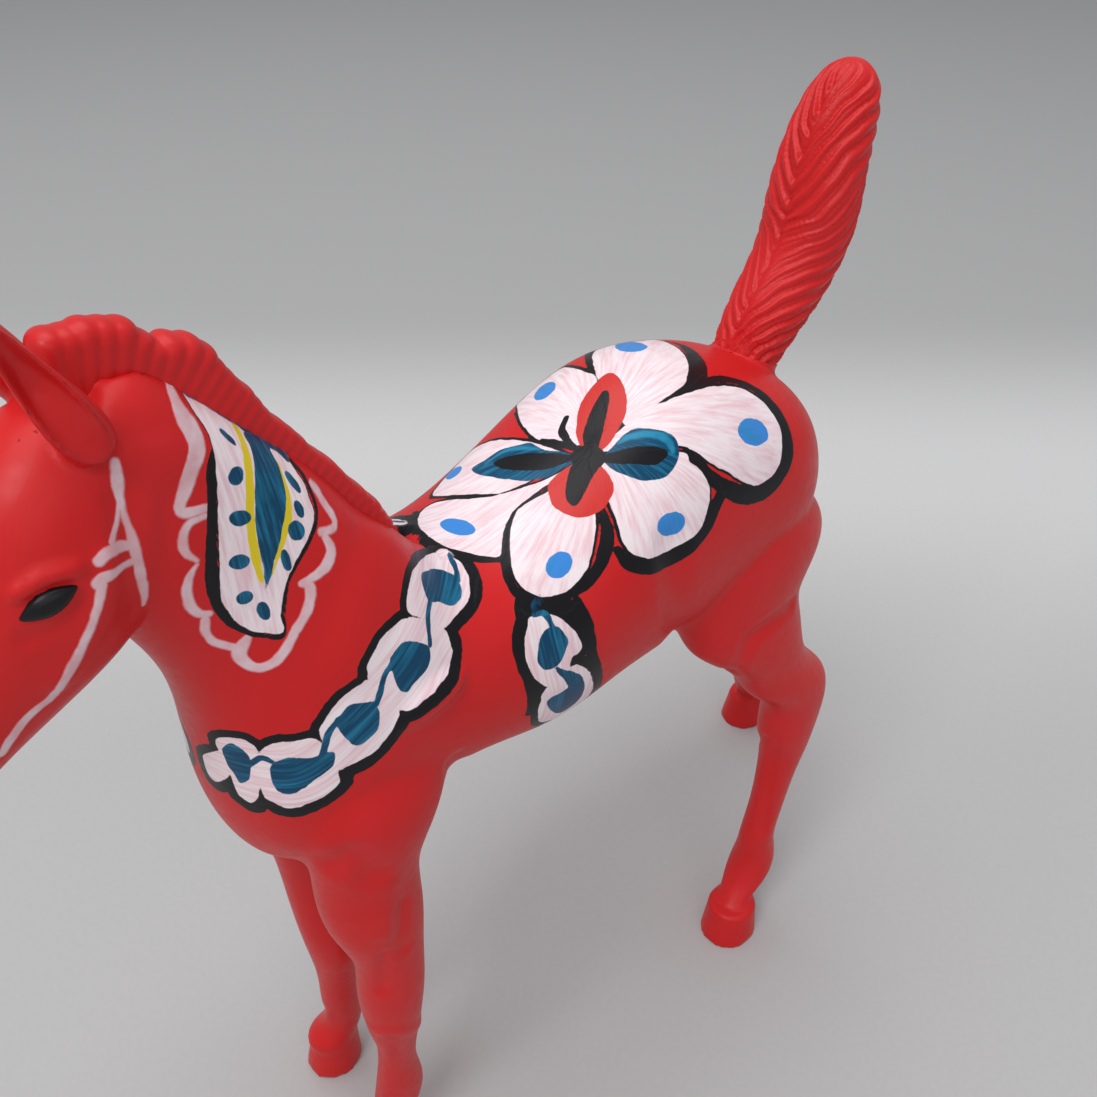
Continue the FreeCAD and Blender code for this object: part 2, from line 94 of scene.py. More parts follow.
# The flower on the back, petal by petal. An outline is a list of pixels. A stroke is one too, each pixel with
# the half width of the brush there. A dot is its middle, its half axes and its turn in degrees.
PETALS = {
    "upper_rear": [(592, 357), (597, 349), (615, 343), (635, 340), (655, 340), (670, 344), (682, 352),
                   (688, 364), (687, 378), (680, 388), (668, 396), (655, 405), (625, 425), (600, 382),
                   (596, 372)],
    "rear": [(600, 452), (640, 415), (680, 396), (700, 389), (720, 386), (740, 388), (757, 397), (770, 410),
             (780, 428), (782, 445), (780, 462), (772, 476), (760, 484), (750, 485), (740, 480), (727, 472),
             (712, 464), (700, 455), (690, 449), (680, 446)],
    "lower_rear": [(607, 498), (613, 512), (618, 525), (622, 540), (630, 552), (645, 558), (655, 557),
                   (668, 551), (685, 542), (700, 530), (706, 515), (710, 495), (708, 483), (700, 470),
                   (690, 462), (683, 452), (640, 455), (590, 460)],
    "lower_front": [(524, 505), (513, 520), (510, 545), (512, 570), (520, 585), (535, 595), (545, 597),
                    (562, 593), (575, 585), (585, 572), (590, 560), (594, 540), (596, 520), (595, 512),
                    (585, 460), (570, 480)],
    "front": [(418, 520), (421, 512), (432, 504), (450, 500), (480, 498), (505, 493), (545, 480), (585, 458),
              (523, 502), (508, 520), (502, 540), (500, 556), (485, 556), (465, 552), (445, 546), (430, 537),
              (420, 528)],
    "upper_front": [(433, 493), (445, 478), (455, 467), (470, 452), (485, 443), (500, 440), (512, 440),
                    (560, 452), (575, 459), (510, 490), (480, 494), (440, 496)],
    "upper": [(517, 405), (520, 400), (530, 388), (543, 375), (560, 369), (572, 368), (585, 372), (597, 380),
              (596, 420), (590, 437), (575, 446), (560, 441), (540, 440), (527, 430), (520, 420)],
}
PETAL_EDGE = [
    [(665, 341, 2), (683, 346, 5), (695, 357, 8), (699, 370, 9), (691, 382, 8), (678, 394, 6.5),
     (664, 402, 3.5), (656, 406, 1.5)],
    [(698, 384, 4), (720, 379, 4.5), (742, 383, 4.5), (760, 393, 5.5), (776, 410, 7), (786, 432, 8),
     (788, 455, 9), (780, 475, 9), (765, 490, 10), (745, 495, 10), (728, 489, 9), (712, 478, 7),
     (698, 463, 6), (684, 449, 2)],
    [(618, 550, 5), (628, 563, 7), (645, 567, 8), (660, 564, 8), (676, 556, 8), (692, 545, 8), (706, 528, 8),
     (714, 510, 8), (720, 497, 8)],
    [(601, 508, 3), (607, 530, 6.5), (605, 550, 8), (598, 568, 7), (585, 585, 6), (572, 594, 4)],
    [(519, 505, 3), (509, 520, 4.5), (504, 545, 4.5), (505, 565, 4.5), (510, 582, 5), (518, 594, 5.5),
     (532, 602, 5.5), (548, 604, 5.5), (565, 599, 5)],
    [(415, 512, 3), (415, 524, 4), (421, 536, 4.5), (436, 546, 4.5), (457, 555, 4.5), (480, 560, 4.5),
     (499, 560, 4)],
    [(430, 498, 2), (460, 497, 2.3), (490, 494, 2.3), (513, 490, 2.3), (540, 481, 1.6)],
    [(588, 351, 4), (592, 364, 5.5), (598, 380, 2.5)],
    [(516, 412, 2.5), (522, 426, 2.5), (536, 438, 2), (556, 445, 1.6)],
]
PETAL_DOTS = [((631, 347), (16, 5), 0), ((545, 391), (13, 6), -38), ((753, 432), (16, 13), 30),
              ((671, 524), (15, 11), -30), ((559, 565), (15, 12), -50), ((458, 527), (18, 8), 12),
              ((454, 473), (10, 3.5), -38)]
TEAL_PETALS = [
    [(603, 459), (612, 447), (630, 430), (645, 428), (660, 430), (673, 436), (679, 447), (678, 460),
     (670, 473), (658, 479), (640, 480), (620, 473), (608, 466)],
    [(472, 468), (485, 460), (500, 450), (520, 445), (530, 443), (545, 450), (578, 457), (560, 470),
     (545, 478), (520, 481), (490, 477), (475, 473)],
]
TEAL_LIGHTS = [
    [(618, 443, 1.5), (632, 436, 3.5), (652, 434, 4), (668, 441, 3.5), (673, 452, 2)],
    [(485, 464, 1.5), (503, 452, 3), (522, 448, 2.5), (540, 450, 1)],
]
CRIMSON_PETALS = [
    [(601, 377), (612, 373), (622, 382), (627, 398), (626, 412), (618, 430), (605, 448), (590, 452),
     (577, 440), (577, 420), (580, 405), (590, 390)],
    [(576, 464), (560, 472), (549, 484), (549, 495), (552, 504), (560, 511), (575, 517), (590, 516),
     (605, 507), (613, 492), (612, 480), (598, 464)],
]
PETAL_CORES = [
    [(600, 457), (620, 450), (640, 446), (662, 448), (668, 455), (655, 465), (630, 464), (605, 463)],
    [(493, 464), (505, 457), (530, 453), (560, 454), (580, 456), (560, 465), (540, 470), (510, 470)],
    [(603, 391), (609, 393), (608, 408), (603, 430), (596, 452), (586, 450), (583, 435), (588, 418),
     (596, 402)],
    [(577, 460), (568, 475), (565, 490), (567, 500), (573, 506), (579, 503), (584, 494), (592, 478),
     (598, 464)],
    [(577, 448), (596, 446), (606, 456), (600, 467), (580, 468), (570, 459)],
]
PETAL_CURLS = [[(566, 418, 3.5), (562, 430, 4), (567, 440, 3.5), (576, 448, 2)],
               [(541, 441, 3), (556, 443, 3.5), (570, 447, 3), (582, 453, 2)]]

# The leaf on the neck with the loose scalloped line round it.
LEAF = [(181, 389), (200, 402), (222, 410), (236, 418), (262, 434), (285, 456), (300, 477), (308, 495),
        (314, 514), (311, 531), (303, 548), (293, 566), (287, 580), (283, 597), (281, 615), (283, 632),
        (262, 633), (243, 627), (228, 612), (221, 598), (220, 578), (219, 545), (218, 515), (217, 480),
        (215, 457), (208, 433), (196, 414)]
LEAF_SHADOW = [(213, 449, 2), (211, 465, 4.5), (212, 490, 5.5), (212, 520, 5), (211, 550, 6), (212, 578, 7),
               (217, 601, 6.5), (228, 620, 5), (245, 631, 3.5), (264, 636, 2.5), (283, 636, 2),
               (284, 615, 1.8), (286, 592, 1.8), (291, 575, 1.8), (302, 555, 2), (313, 533, 2),
               (317, 513, 2), (311, 492, 2), (303, 475, 1.8), (291, 461, 2)]
LEAF_RIDGE = [(182, 390, 2), (192, 394, 4), (204, 401, 3), (218, 407, 3.5), (232, 415, 3), (246, 423, 4.5),
              (260, 433, 5), (268, 442, 3), (278, 448, 4), (286, 456, 3.5)]
LEAF_YELLOW = [
    [(231, 420, 2), (238, 432, 3.5), (244, 446, 4.5), (248, 464, 5), (250, 488, 5), (250, 512, 5),
     (252, 536, 5), (256, 559, 4.5), (260, 575, 3.5), (263, 583, 1)],
    [(277, 462, 1), (281, 475, 2.5), (286, 492, 4), (289, 510, 4.5), (286, 529, 4.5), (280, 548, 3.5),
     (275, 564, 2), (272, 574, 1)],
]
LEAF_TEAL = [(240, 421), (250, 425), (262, 434), (270, 448), (276, 460), (281, 475), (285, 490), (286, 506),
             (283, 525), (280, 544), (275, 560), (270, 578), (266, 588), (263, 566), (259, 546), (256, 530),
             (255, 508), (255, 480), (254, 461), (250, 446), (244, 433)]
LEAF_DOTS = [((236, 476), (7.5, 10), 15), ((240, 518), (11, 8), -5), ((239, 562), (11, 7.5), -12),
             ((245, 598), (9, 6.5), -25), ((264, 611), (6.5, 9.5), -18), ((228, 437), (12, 2.8), 46),
             ((293, 482), (13, 3.5), 55), ((299, 509), (9.5, 4.5), 65), ((296, 531), (8.5, 10), -15),
             ((286, 560), (4.5, 11), -15)]
SCALLOPS = [
    [(172, 391, 6), (180, 412, 8), (192, 431, 10), (197, 449, 10), (191, 471, 8.5), (184, 493, 7.5),
     (180, 511, 5), (193, 512, 5), (206, 508, 4)],
    [(205, 516, 3), (190, 524, 4), (183, 538, 4.5), (185, 552, 4.5), (197, 561, 3)],
    [(197, 565, 3), (190, 576, 4), (187, 590, 5), (190, 605, 5), (198, 614, 5), (209, 614, 4)],
    [(205, 619, 4), (206, 632, 4), (213, 641, 4), (225, 645, 4.5), (236, 648, 5)],
    [(247, 638, 4), (240, 649, 7), (240, 657, 6), (249, 665, 5), (262, 668, 5), (277, 660, 5), (288, 645, 5),
     (295, 631, 4)],
    [(297, 628, 5), (305, 615, 5), (310, 600, 5.5), (310, 586, 5), (303, 583, 3)],
    [(302, 583, 3.5), (315, 576, 5), (327, 565, 6), (331, 550, 6), (325, 537, 4)],
    [(321, 532, 4), (333, 528, 4), (334, 519, 4), (326, 506, 4), (318, 492, 4), (311, 483, 3)],
]

# The breast band and the girth band: their middle lines, lobes, beads and the strand that joins the beads.
BREAST_LINE = [(447, 556), (442, 585), (428, 625), (406, 666), (380, 696), (352, 726), (325, 751),
               (295, 768), (262, 768), (240, 764)]
BREAST_LOBES = [
    [(433, 553), (455, 557), (466, 570), (470, 585), (468, 600), (455, 617), (442, 628), (420, 617),
     (408, 612), (408, 590), (415, 567)],
    [(367, 675), (370, 660), (380, 640), (395, 625), (410, 617), (442, 628), (450, 640), (452, 655),
     (448, 672), (440, 685), (425, 700), (405, 711), (380, 705)],
    [(320, 735), (325, 720), (335, 705), (345, 695), (360, 685), (370, 681), (398, 705), (395, 725),
     (385, 740), (370, 755), (350, 765), (337, 768)],
    [(258, 755), (280, 742), (300, 740), (320, 742), (340, 778), (325, 795), (310, 803), (290, 808),
     (275, 803), (262, 793)],
    [(215, 740), (235, 738), (250, 743), (258, 753), (260, 790), (253, 803), (242, 798), (236, 790),
     (228, 768)],
    [(203, 756), (213, 752), (222, 753), (230, 773), (224, 780), (215, 781), (208, 773)],
]
BREAST_BEADS = [
    [(421, 578), (425, 571), (437, 569), (450, 573), (458, 580), (462, 592), (460, 600), (450, 606),
     (440, 602), (428, 600)],
    [(390, 665), (392, 655), (400, 645), (412, 641), (428, 646), (430, 660), (425, 672), (415, 682),
     (408, 692), (400, 690), (395, 680)],
    [(335, 722), (340, 715), (350, 705), (365, 702), (375, 703), (380, 715), (378, 728), (370, 738),
     (360, 745), (350, 743)],
    [(270, 770), (275, 762), (290, 757), (310, 758), (333, 752), (333, 765), (322, 775), (312, 782),
     (300, 790), (290, 794), (280, 792), (272, 783)],
    [(222, 750), (230, 743), (243, 750), (250, 760), (250, 775), (246, 782), (240, 783), (235, 775),
     (228, 765)],
]
BREAST_STRAND = [
    [(450, 556, 3), (455, 566, 3.5), (458, 580, 3)],
    [(430, 600, 3), (428, 618, 3.5), (430, 645, 3)],
    [(394, 660, 3), (385, 675, 3.5), (381, 690, 3.5), (377, 704, 3)],
    [(338, 720, 3), (328, 735, 3.5), (322, 755, 3)],
    [(272, 762, 3), (260, 758, 3.5), (248, 766, 3)],
]
GIRTH_LINE = [(546, 608), (553, 640), (560, 670), (564, 695)]
GIRTH_LOBES = [
    [(530, 617), (545, 614), (560, 618), (572, 628), (580, 640), (582, 648), (577, 654), (572, 658),
     (565, 685), (548, 687), (535, 678), (528, 665), (525, 655), (525, 640), (528, 625)],
    [(572, 666), (585, 668), (592, 677), (593, 688), (588, 698), (580, 706), (568, 714), (555, 720),
     (540, 722), (538, 713), (541, 700), (545, 690)],
]
GIRTH_BEADS = [
    [(538, 650), (540, 640), (545, 630), (552, 627), (560, 628), (568, 640), (566, 650), (562, 660),
     (555, 667), (545, 670), (538, 662)],
    [(556, 668), (575, 672), (583, 680), (584, 690), (580, 698), (572, 706), (560, 713), (550, 710),
     (547, 703), (552, 697), (565, 690), (568, 685)],
]
GIRTH_STRAND = [[(534, 615, 3), (545, 614, 3.5), (553, 628, 3)]]
GIRTH_GROUND = [
    [(521, 603, 6), (517, 630, 5), (517, 650, 5), (523, 670, 5), (531, 688, 6), (530, 712, 6)],
    [(577, 603, 6), (586, 622, 8), (590, 642, 8), (594, 660, 6), (599, 678, 5), (598, 692, 4)],
    [(525, 604, 6), (548, 607, 7), (574, 608, 8)],
]

# The girth band under the belly, on each side: its lobes, the half axes of a lobe and of a bead, how far they
# lie beside the band's middle, the beads' turn in degrees, and the sway and half width of the strand.
HIDDEN_LOBES = 2
HIDDEN_LOBE = (3.4, 4.2)
HIDDEN_LOBE_ASIDE = 0.4
HIDDEN_BEAD = (1.6, 2.6)
HIDDEN_BEAD_ASIDE = 0.2
HIDDEN_BEAD_TURN = 25
HIDDEN_SWAY = 1.6
HIDDEN_STRAND = 0.4
HIDDEN_LEAST = 8        # the least hidden length that gets lobes

# The width of the black round the lobes: places from the front of a band to its rear, and the widths there.
BAND_BLACK = ((-5, -1, 1, 5), (1.05, 1.1, 1.3, 1.5))
BAND_REACH = 9          # how far from its middle a band may reach
PETAL_BLACK = 0.45      # the mean width of the thin black round the petals
PETAL_BLACK_SWELL = 0.15
PETAL_BLACK_WAVES = 5
LEAF_BLACK = 0.12

# The parts of the body that the flower and the left leaf may lie on, as two corners in millimetres.
FLOWER_REGION = ((-50, -30, 78), (50, 45, 200))
LEAF_REGION = ((MEDIAN + 0.5, -60, 96), (MEDIAN + 50, -24, 140))

# How streaks of the brush run: along a band, round the flower's middle, and from a start for each motif.
BAND_STREAK = 0.6
FLOWER_STREAK = 13
PETAL_START = 7
BAND_START = 40.0
LEAF_START = 70.0

# The bridle.
BRIDLE = [
    [(115, 462, 4.5), (117, 480, 6), (119, 496, 4.5), (122, 508, 3.5), (128, 526, 4), (134, 545, 5),
     (138, 562, 5), (142, 580, 4.5), (145, 596, 4), (144, 604, 2)],
    [(119, 503, 3), (117, 522, 3), (112, 542, 4)],
    [(100, 561, 6), (108, 553, 6.5), (120, 547, 5.5), (132, 545, 4)],
    [(98, 584, 6), (106, 577, 6), (118, 571, 4.5), (132, 562, 4)],
    [(102, 586, 5), (99, 605, 4), (92, 625, 4), (84, 643, 4.5), (74, 665, 5), (63, 684, 5), (52, 697, 4.5),
     (38, 708, 4.5), (25, 721, 4.5), (12, 738, 5), (2, 754, 4)],
]

# The near eye, from its lower corner to its upper one, and the half of its height.
EYE_CORNERS = ((20, 622), (78, 587))
EYE_HALF_HEIGHT = 13.5
EYE_TAPER = 0.5         # how much lower the eye is at its corners
EYE_BULGE = 0.95        # half the eye's depth in millimetres
EYE_SEAT = 0.35         # how far it sits in

# Strokes of carving: a line of pixels, the reach and the height of the stroke (less than zero for a groove),
# and whether the far side gets it too.
STROKES = {
    "flank": ([(672, 545), (676, 590), (680, 625), (690, 645)], 4.0, -0.7, True),
    "thigh crease": ([(792, 605), (770, 625), (748, 645), (730, 672)], 2.4, -0.6, True),
    "hock hollow": ([(738, 690), (755, 705), (765, 740)], 2.0, -0.45, False),
    "hind tendon": ([(775, 735), (768, 780), (762, 830)], 1.6, -0.4, False),
    "breast hollow": ([(335, 865), (355, 860), (372, 875)], 3.5, -0.7, True),
    "forearm front": ([(402, 905), (400, 935), (404, 950)], 1.8, -0.45, True),
    "forearm rear": ([(385, 955), (383, 990)], 1.6, -0.4, True),
    "forearm swell": ([(388, 890), (386, 930)], 3.0, 0.4, True),
    "elbow": ([(455, 760), (450, 790), (430, 830)], 2.6, -0.6, True),
    "shoulder": ([(385, 545), (370, 600), (350, 660)], 5.0, 0.4, True),
    "breast swell": ([(300, 800), (300, 840)], 6.0, 0.4, True),
    "knee": ([(375, 1030), (395, 1032), (418, 1025)], 2.0, 0.3, False),
    "brow": ([(18, 594), (45, 577), (76, 568)], 1.3, 0.55, True),
    "brow crease": ([(22, 603), (45, 590), (72, 581)], 0.7, -0.30, True),
    "under the eye": ([(28, 640), (55, 630), (80, 600)], 1.6, -0.3, True),
    "cheek": ([(108, 560), (104, 600), (86, 645), (60, 680)], 2.2, 0.35, True),
    "throat": ([(125, 500), (133, 560), (136, 610)], 2.6, -0.5, True),
}

# The nostril and the line of the mouth, from the muzzle's end: to the side, back and up. A cut is a reach and
# a height.
NOSTRIL = (3.3, 3.2, 2.2)
NOSTRIL_CUT = (1.1, -0.9)
MOUTH = ((1.0, 3.4, -0.8), (2.6, 4.4, -1.2), (3.6, 7.2, -1.6), (3.8, 10.0, -1.7))
MOUTH_CUT = (0.8, -0.45)

# The hollow of an ear: where the left one faces, its greatest depth, the shares of the ear's thickness and
# width that it may take, where the ear is widest, and where the hollow begins and ends along the ear and how
# softly, as shares of the ear's length.
EAR_FACE = (0.89, -0.30, 0.35)
EAR_DEPTH = 3.3
EAR_THICK_SHARE = 0.72
EAR_WIDE_SHARE = 0.75
EAR_WIDEST = 0.25
EAR_BEGIN, EAR_END = -0.12, 0.97
EAR_BEGIN_SOFT, EAR_END_SOFT = 0.5, 0.2
EAR_BOWL = 0.6          # the hollow's section: 0 is flat and 1 a parabola
EAR_REACH = 6           # how far before and behind the ear's axis the hollow looks for skin
EAR_ROOT = 0.3          # the share of an ear's points whose middle is its root
EAR_FACING = 0.1        # how far skin must face the hollow's way to be sunk
EAR_PROBE = 0.1         # how far under the skin the ray starts that measures the ear's thickness

# The limb roots are blended most at this height over the belly joint, less up to this reach, and not below
# this level.
ROOT_RISE = 6
ROOT_REACH = 20
ROOT_FLOOR = 50


def smooth_line(points, closed=False, steps=6):
    """Points along a rounded line through the given ones."""
    points = np.asarray(points, float)
    count = len(points)
    made = []
    for index in range(count if closed else count - 1):
        if closed:
            before, start, end, after = (points[(index + k) % count] for k in (-1, 0, 1, 2))
        else:
            start, end = points[index], points[index + 1]
            before = points[index - 1] if index else 2 * start - end
            after = points[index + 2] if index + 2 < count else 2 * end - start
        for step in range(steps):
            t = step / steps
            curve = (2 * before - 5 * start + 4 * end - after) * t ** 2
            curve += (3 * start - before - 3 * end + after) * t ** 3
            made.append(0.5 * (2 * start + (end - before) * t + curve))
    if not closed:
        made.append(points[-1])
    return np.array(made)


def walked_along(line):
    """How far along a line each of its points is."""
    return np.concatenate([[0], np.cumsum(np.linalg.norm(np.diff(line, axis=0), axis=1))])


def inside_outline(points, outline):
    """Which points lie within a closed outline."""
    inside = np.zeros(len(points), bool)
    for start, end in zip(outline, np.roll(outline, -1, axis=0)):
        if start[1] == end[1]:
            continue
        crosses = (start[1] > points[:, 1]) != (end[1] > points[:, 1])
        reach = (end[0] - start[0]) * (points[:, 1] - start[1]) / (end[1] - start[1]) + start[0]
        inside ^= crosses & (points[:, 0] < reach)
    return inside


def line_distance(points, line, radii=None, with_place=False):
    """Each point's distance to a line, less the line's radius there, and how far along the line it is."""
    line = np.asarray(line, float)
    radii = np.zeros(len(line)) if radii is None else np.asarray(radii, float)
    best = np.full(len(points), 1e6)
    place = np.zeros(len(points))
    walked = 0.0
    for index in range(len(line) - 1):
        start, run = line[index], line[index + 1] - line[index]
        length = max(np.linalg.norm(run), 1e-9)
        share = np.clip((points - start) @ run / length ** 2, 0, 1)
        radius = radii[index] + (radii[index + 1] - radii[index]) * share
        gap = np.linalg.norm(points - start - share[:, None] * run, axis=1) - radius
        nearer = gap < best
        best[nearer] = gap[nearer]
        place[nearer] = (walked + share * length)[nearer]
        walked += length
    return (best, place) if with_place else best


def within(points, low, high):
    """Which points lie in a box."""
    return ((points > low) & (points < high)).all(1)


def near_box(points, line, margin=4.0):
    """Which points lie within a margin of the box round a line."""
    return within(points, line.min(0) - margin, line.max(0) + margin)


def outline_distance(points, corners):
    """The signed distance to a rounded closed outline, less than zero inside."""
    outline = smooth_line(corners, closed=True, steps=4)
    near = near_box(points, outline)
    made = np.full(len(points), FAR)
    if near.any():
        gap = line_distance(points[near], np.vstack([outline, outline[:1]]))
        made[near] = np.where(inside_outline(points[near], outline), -gap, gap)
    return made


def stroke_distance(points, places, radii):
    """The signed distance to a brush stroke whose radius changes along it."""
    line = smooth_line(places, steps=5)
    widths = smooth_line(np.reshape(radii, (-1, 1)), steps=5)[:, 0]
    near = near_box(points, line)
    made = np.full(len(points), FAR)
    if near.any():
        made[near] = line_distance(points[near], line, widths)
    return made


def oval(centre, halves, turn):
    """Eight pixels round an oval whose first half axis is turned by an angle in degrees."""
    angles = np.radians(np.arange(0, 360, 45))
    lean = math.radians(turn)
    across, along = halves[0] * np.cos(angles), halves[1] * np.sin(angles)
    return np.stack([centre[0] + across * math.cos(lean) - along * math.sin(lean),
                     centre[1] + across * math.sin(lean) + along * math.cos(lean)], axis=1)


def camera_axes():
    """The camera's right, up and forward directions."""
    forward = np.subtract(CAMERA_TARGET, CAMERA_PLACE)
    forward /= np.linalg.norm(forward)
    right = np.cross(forward, (0, 0, 1))
    right /= np.linalg.norm(right)
    return right, np.cross(right, forward), forward


def seen(tree, pixels):
    """The places and normals of the skin under pixels. One that misses it is moved towards their middle."""
    pixels = np.asarray(pixels, float)
    right, up, forward = camera_axes()
    places, normals = [], []
    for pixel in pixels:
        for share in np.linspace(0, 1, SEARCH_STEPS):
            u, v = pixel + (pixels.mean(0) - pixel) * share - PICTURE_WIDTH / 2
            hit, normal, _, _ = tree.ray_cast(Vector(CAMERA_PLACE) * MM,
                                              Vector(forward * FOCAL_PIXELS + right * u - up * v))
            if hit is not None:
                break
        if hit is None:
            beside = forward * FOCAL_PIXELS + right * u - up * v
            beside *= np.linalg.norm(np.subtract(CAMERA_TARGET, CAMERA_PLACE)) / np.linalg.norm(beside)
            hit, normal, _, _ = tree.find_nearest(Vector((CAMERA_PLACE + beside) * MM))
        places.append(np.array(hit) / MM)
        normals.append(np.array(normal))
    return np.array(places), np.array(normals)


def seen_stroke(tree, stations):
    """A brush stroke carried onto the skin: its places, normals and radii in millimetres."""
    stations = np.array(stations)
    places, normals = seen(tree, stations[:, :2])
    reach = np.linalg.norm(places - CAMERA_PLACE, axis=1) / FOCAL_PIXELS
    return places, normals, stations[:, 2] * reach


def mirrored(points):
    """Places on the other side of the foal."""
    return np.asarray(points) * (-1, 1, 1) + (2 * MEDIAN, 0, 0)


def mesh_arrays(mesh):
    """The vertices of a mesh in millimetres, and its edges."""
    points = np.zeros(len(mesh.vertices) * 3)
    mesh.vertices.foreach_get("co", points)
    edges = np.zeros(len(mesh.edges) * 2, int)
    mesh.edges.foreach_get("vertices", edges)
    return points.reshape(-1, 3) / MM, edges.reshape(-1, 2)


def put_points(mesh, points):
    """Moves the vertices of a mesh to places in millimetres."""
    mesh.vertices.foreach_set("co", (points * MM).ravel())
    mesh.update()


def vertex_normals(mesh):
    """The smooth normals of a mesh."""
    normals = np.zeros(len(mesh.vertices) * 3)
    mesh.vertices.foreach_get("normal", normals)
    return normals.reshape(-1, 3)


def mesh_tree(mesh):
    """A search tree of a mesh, in metres."""
    made = bmesh.new()
    made.from_mesh(mesh)
    tree = BVHTree.FromBMesh(made)
    made.free()
    return tree


def relaxed(points, edges, steps, share=None, swell=1.04):
    """The points, drawn towards their neighbours. A second, outward pass keeps slim limbs from shrinking."""
    count = len(points)
    degree = np.bincount(edges.ravel(), minlength=count)[:, None]
    heads = np.concatenate([edges[:, 0], edges[:, 1]])
    tails = np.concatenate([edges[:, 1], edges[:, 0]])
    factor = 0.5 if share is None else 0.5 * share[:, None]
    made = points.copy()
    for step in range(2 * steps):
        if step % 2 and not swell:
            continue
        pull = 1 if step % 2 == 0 else -swell
        total = np.stack([np.bincount(heads, made[tails, axis], count) for axis in range(3)], axis=1)
        made += factor * pull * (total / degree - made)
    return made


def fused_mesh(name, parts, voxel):
    """One closed mesh round several overlapping ones, in even small faces."""
    mesh = bpy.data.meshes.new(name)
    made = bmesh.new()
    for part in parts:
        made.from_mesh(part)
    bmesh.ops.remove_doubles(made, verts=made.verts, dist=MM * 0.0001)
    made.to_mesh(mesh)
    made.free()
    holder = bpy.data.objects.new(name, mesh)
    bpy.context.collection.objects.link(holder)
    remesh = holder.modifiers.new("fuse", "REMESH")
    remesh.mode = "VOXEL"
    remesh.voxel_size = voxel * MM
    remesh.use_smooth_shade = True
    graph = bpy.context.evaluated_depsgraph_get()
    fused = bpy.data.meshes.new_from_object(holder.evaluated_get(graph))
    bpy.data.objects.remove(holder)
    bpy.data.meshes.remove(mesh)
    return fused


def new_piece(name, mesh, material, *nodes):
    """A finished piece in the scene, which stands for CAD nodes."""
    mesh.name = name
    mesh.materials.clear()
    mesh.materials.append(material)
    mesh.shade_smooth()
    piece = bpy.data.objects.new(name, mesh)
    bpy.context.collection.objects.link(piece)
    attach(piece, "root")
    if nodes:
        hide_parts(*nodes)
    return piece


def new_material(name, look):
    """An empty node material with its shader and output."""
    material = bpy.data.materials.new(name)
    material.use_nodes = True
    material.diffuse_color = (*look, 1)
    tree = material.node_tree
    tree.nodes.clear()
    shader = tree.nodes.new("ShaderNodeBsdfPrincipled")
    output = tree.nodes.new("ShaderNodeOutputMaterial")
    tree.links.new(shader.outputs["BSDF"], output.inputs["Surface"])
    return material, tree, shader


def math_node(tree, operation, first, second=None):
    """A math node with values or sockets as its operands."""
    node = tree.nodes.new("ShaderNodeMath")
    node.operation = operation
    for socket, operand in zip(node.inputs, (first, second)):
        if operand is None:
            continue
        if isinstance(operand, (int, float)):
            socket.default_value = operand
        else:
            tree.links.new(operand, socket)
    return node.outputs[0]


def mix_colour(tree, factor, under, over):
    """One colour over another by a mask."""
    node = tree.nodes.new("ShaderNodeMix")
    node.data_type = "RGBA"
    for socket, value in ((node.inputs[0], factor), (node.inputs[6], under), (node.inputs[7], over)):
        if isinstance(value, (tuple, list)):
            socket.default_value = (*value[:3], 1)
        elif isinstance(value, (int, float)):
            socket.default_value = value
        else:
            tree.links.new(value, socket)
    return node.outputs[2]


def noise_node(tree, vector, scale, detail=2.0, roughness=0.5):
    """A noise texture on a vector."""
    node = tree.nodes.new("ShaderNodeTexNoise")
    node.inputs["Scale"].default_value = scale
    node.inputs["Detail"].default_value = detail
    node.inputs["Roughness"].default_value = roughness
    tree.links.new(vector, node.inputs["Vector"])
    return node.outputs["Fac"]


def ramp(tree, value, low, high, start=0.0, end=1.0):
    """A soft step of a value between two limits."""
    node = tree.nodes.new("ShaderNodeMapRange")
    node.interpolation_type = "SMOOTHSTEP"
    tree.links.new(value, node.inputs["Value"])
    for socket, number in (("From Min", low), ("From Max", high), ("To Min", start), ("To Max", end)):
        node.inputs[socket].default_value = number
    return node.outputs["Result"]


# Noise scales, in waves per metre: clouds and speckles in the spray, its orange peel, uneven white paint, the
# wander of brushed edges and thin places in the pale paint.
CLOUDS, SPECKLES, ORANGE_PEEL = 55.0, 900.0, 2600.0
PATCHES, WANDER, THINNING = 240.0, 650.0, 420.0
EDGE_WANDER = 0.4               # how far brushed edges wander
STREAKS = (1.9, 0.16, 1.0)      # streaks for each millimetre across the brush and along it
GRAIN_HEIGHT, GRAIN_BUMP = 0.00004, 0.30
BRUSH_HEIGHT, BRUSH_BUMP = 0.00008, 0.6
RIDGE_SHARE = 0.8               # how high the ridges of the brush stand against the paint's edge
PEEL_SHARE = 0.3                # how high the orange peel stands against the speckles
PATCH_SHARE = 0.25              # how much of the pink in the white is patches

# Soft steps of a noise: where a step starts and ends, and the values there.
THIN_SPRAY = (0.35, 0.75, 0.0, 0.55)
CLOUD_ROUGHNESS = (0.3, 0.7, 0.0, 0.07)
SPRAY_ROUGHNESS = (0.3, 0.7, 0.34, 0.42)
BRUSHED_ROUGHNESS = (0.3, 0.7, 0.28, 0.40)
EYE_ROUGHNESS = (0.3, 0.7, 0.26, 0.36)
PINK_STREAKS = (0.48, 0.84, 0.08, 0.80)
LIGHT_STREAKS = (0.42, 0.72, 0.0, 0.60)
PALE_COVER = (0.3, 0.7, 0.68, 1.0)
FLOOR_SPECKLES = (0.3, 0.7, 0.0, 0.03)

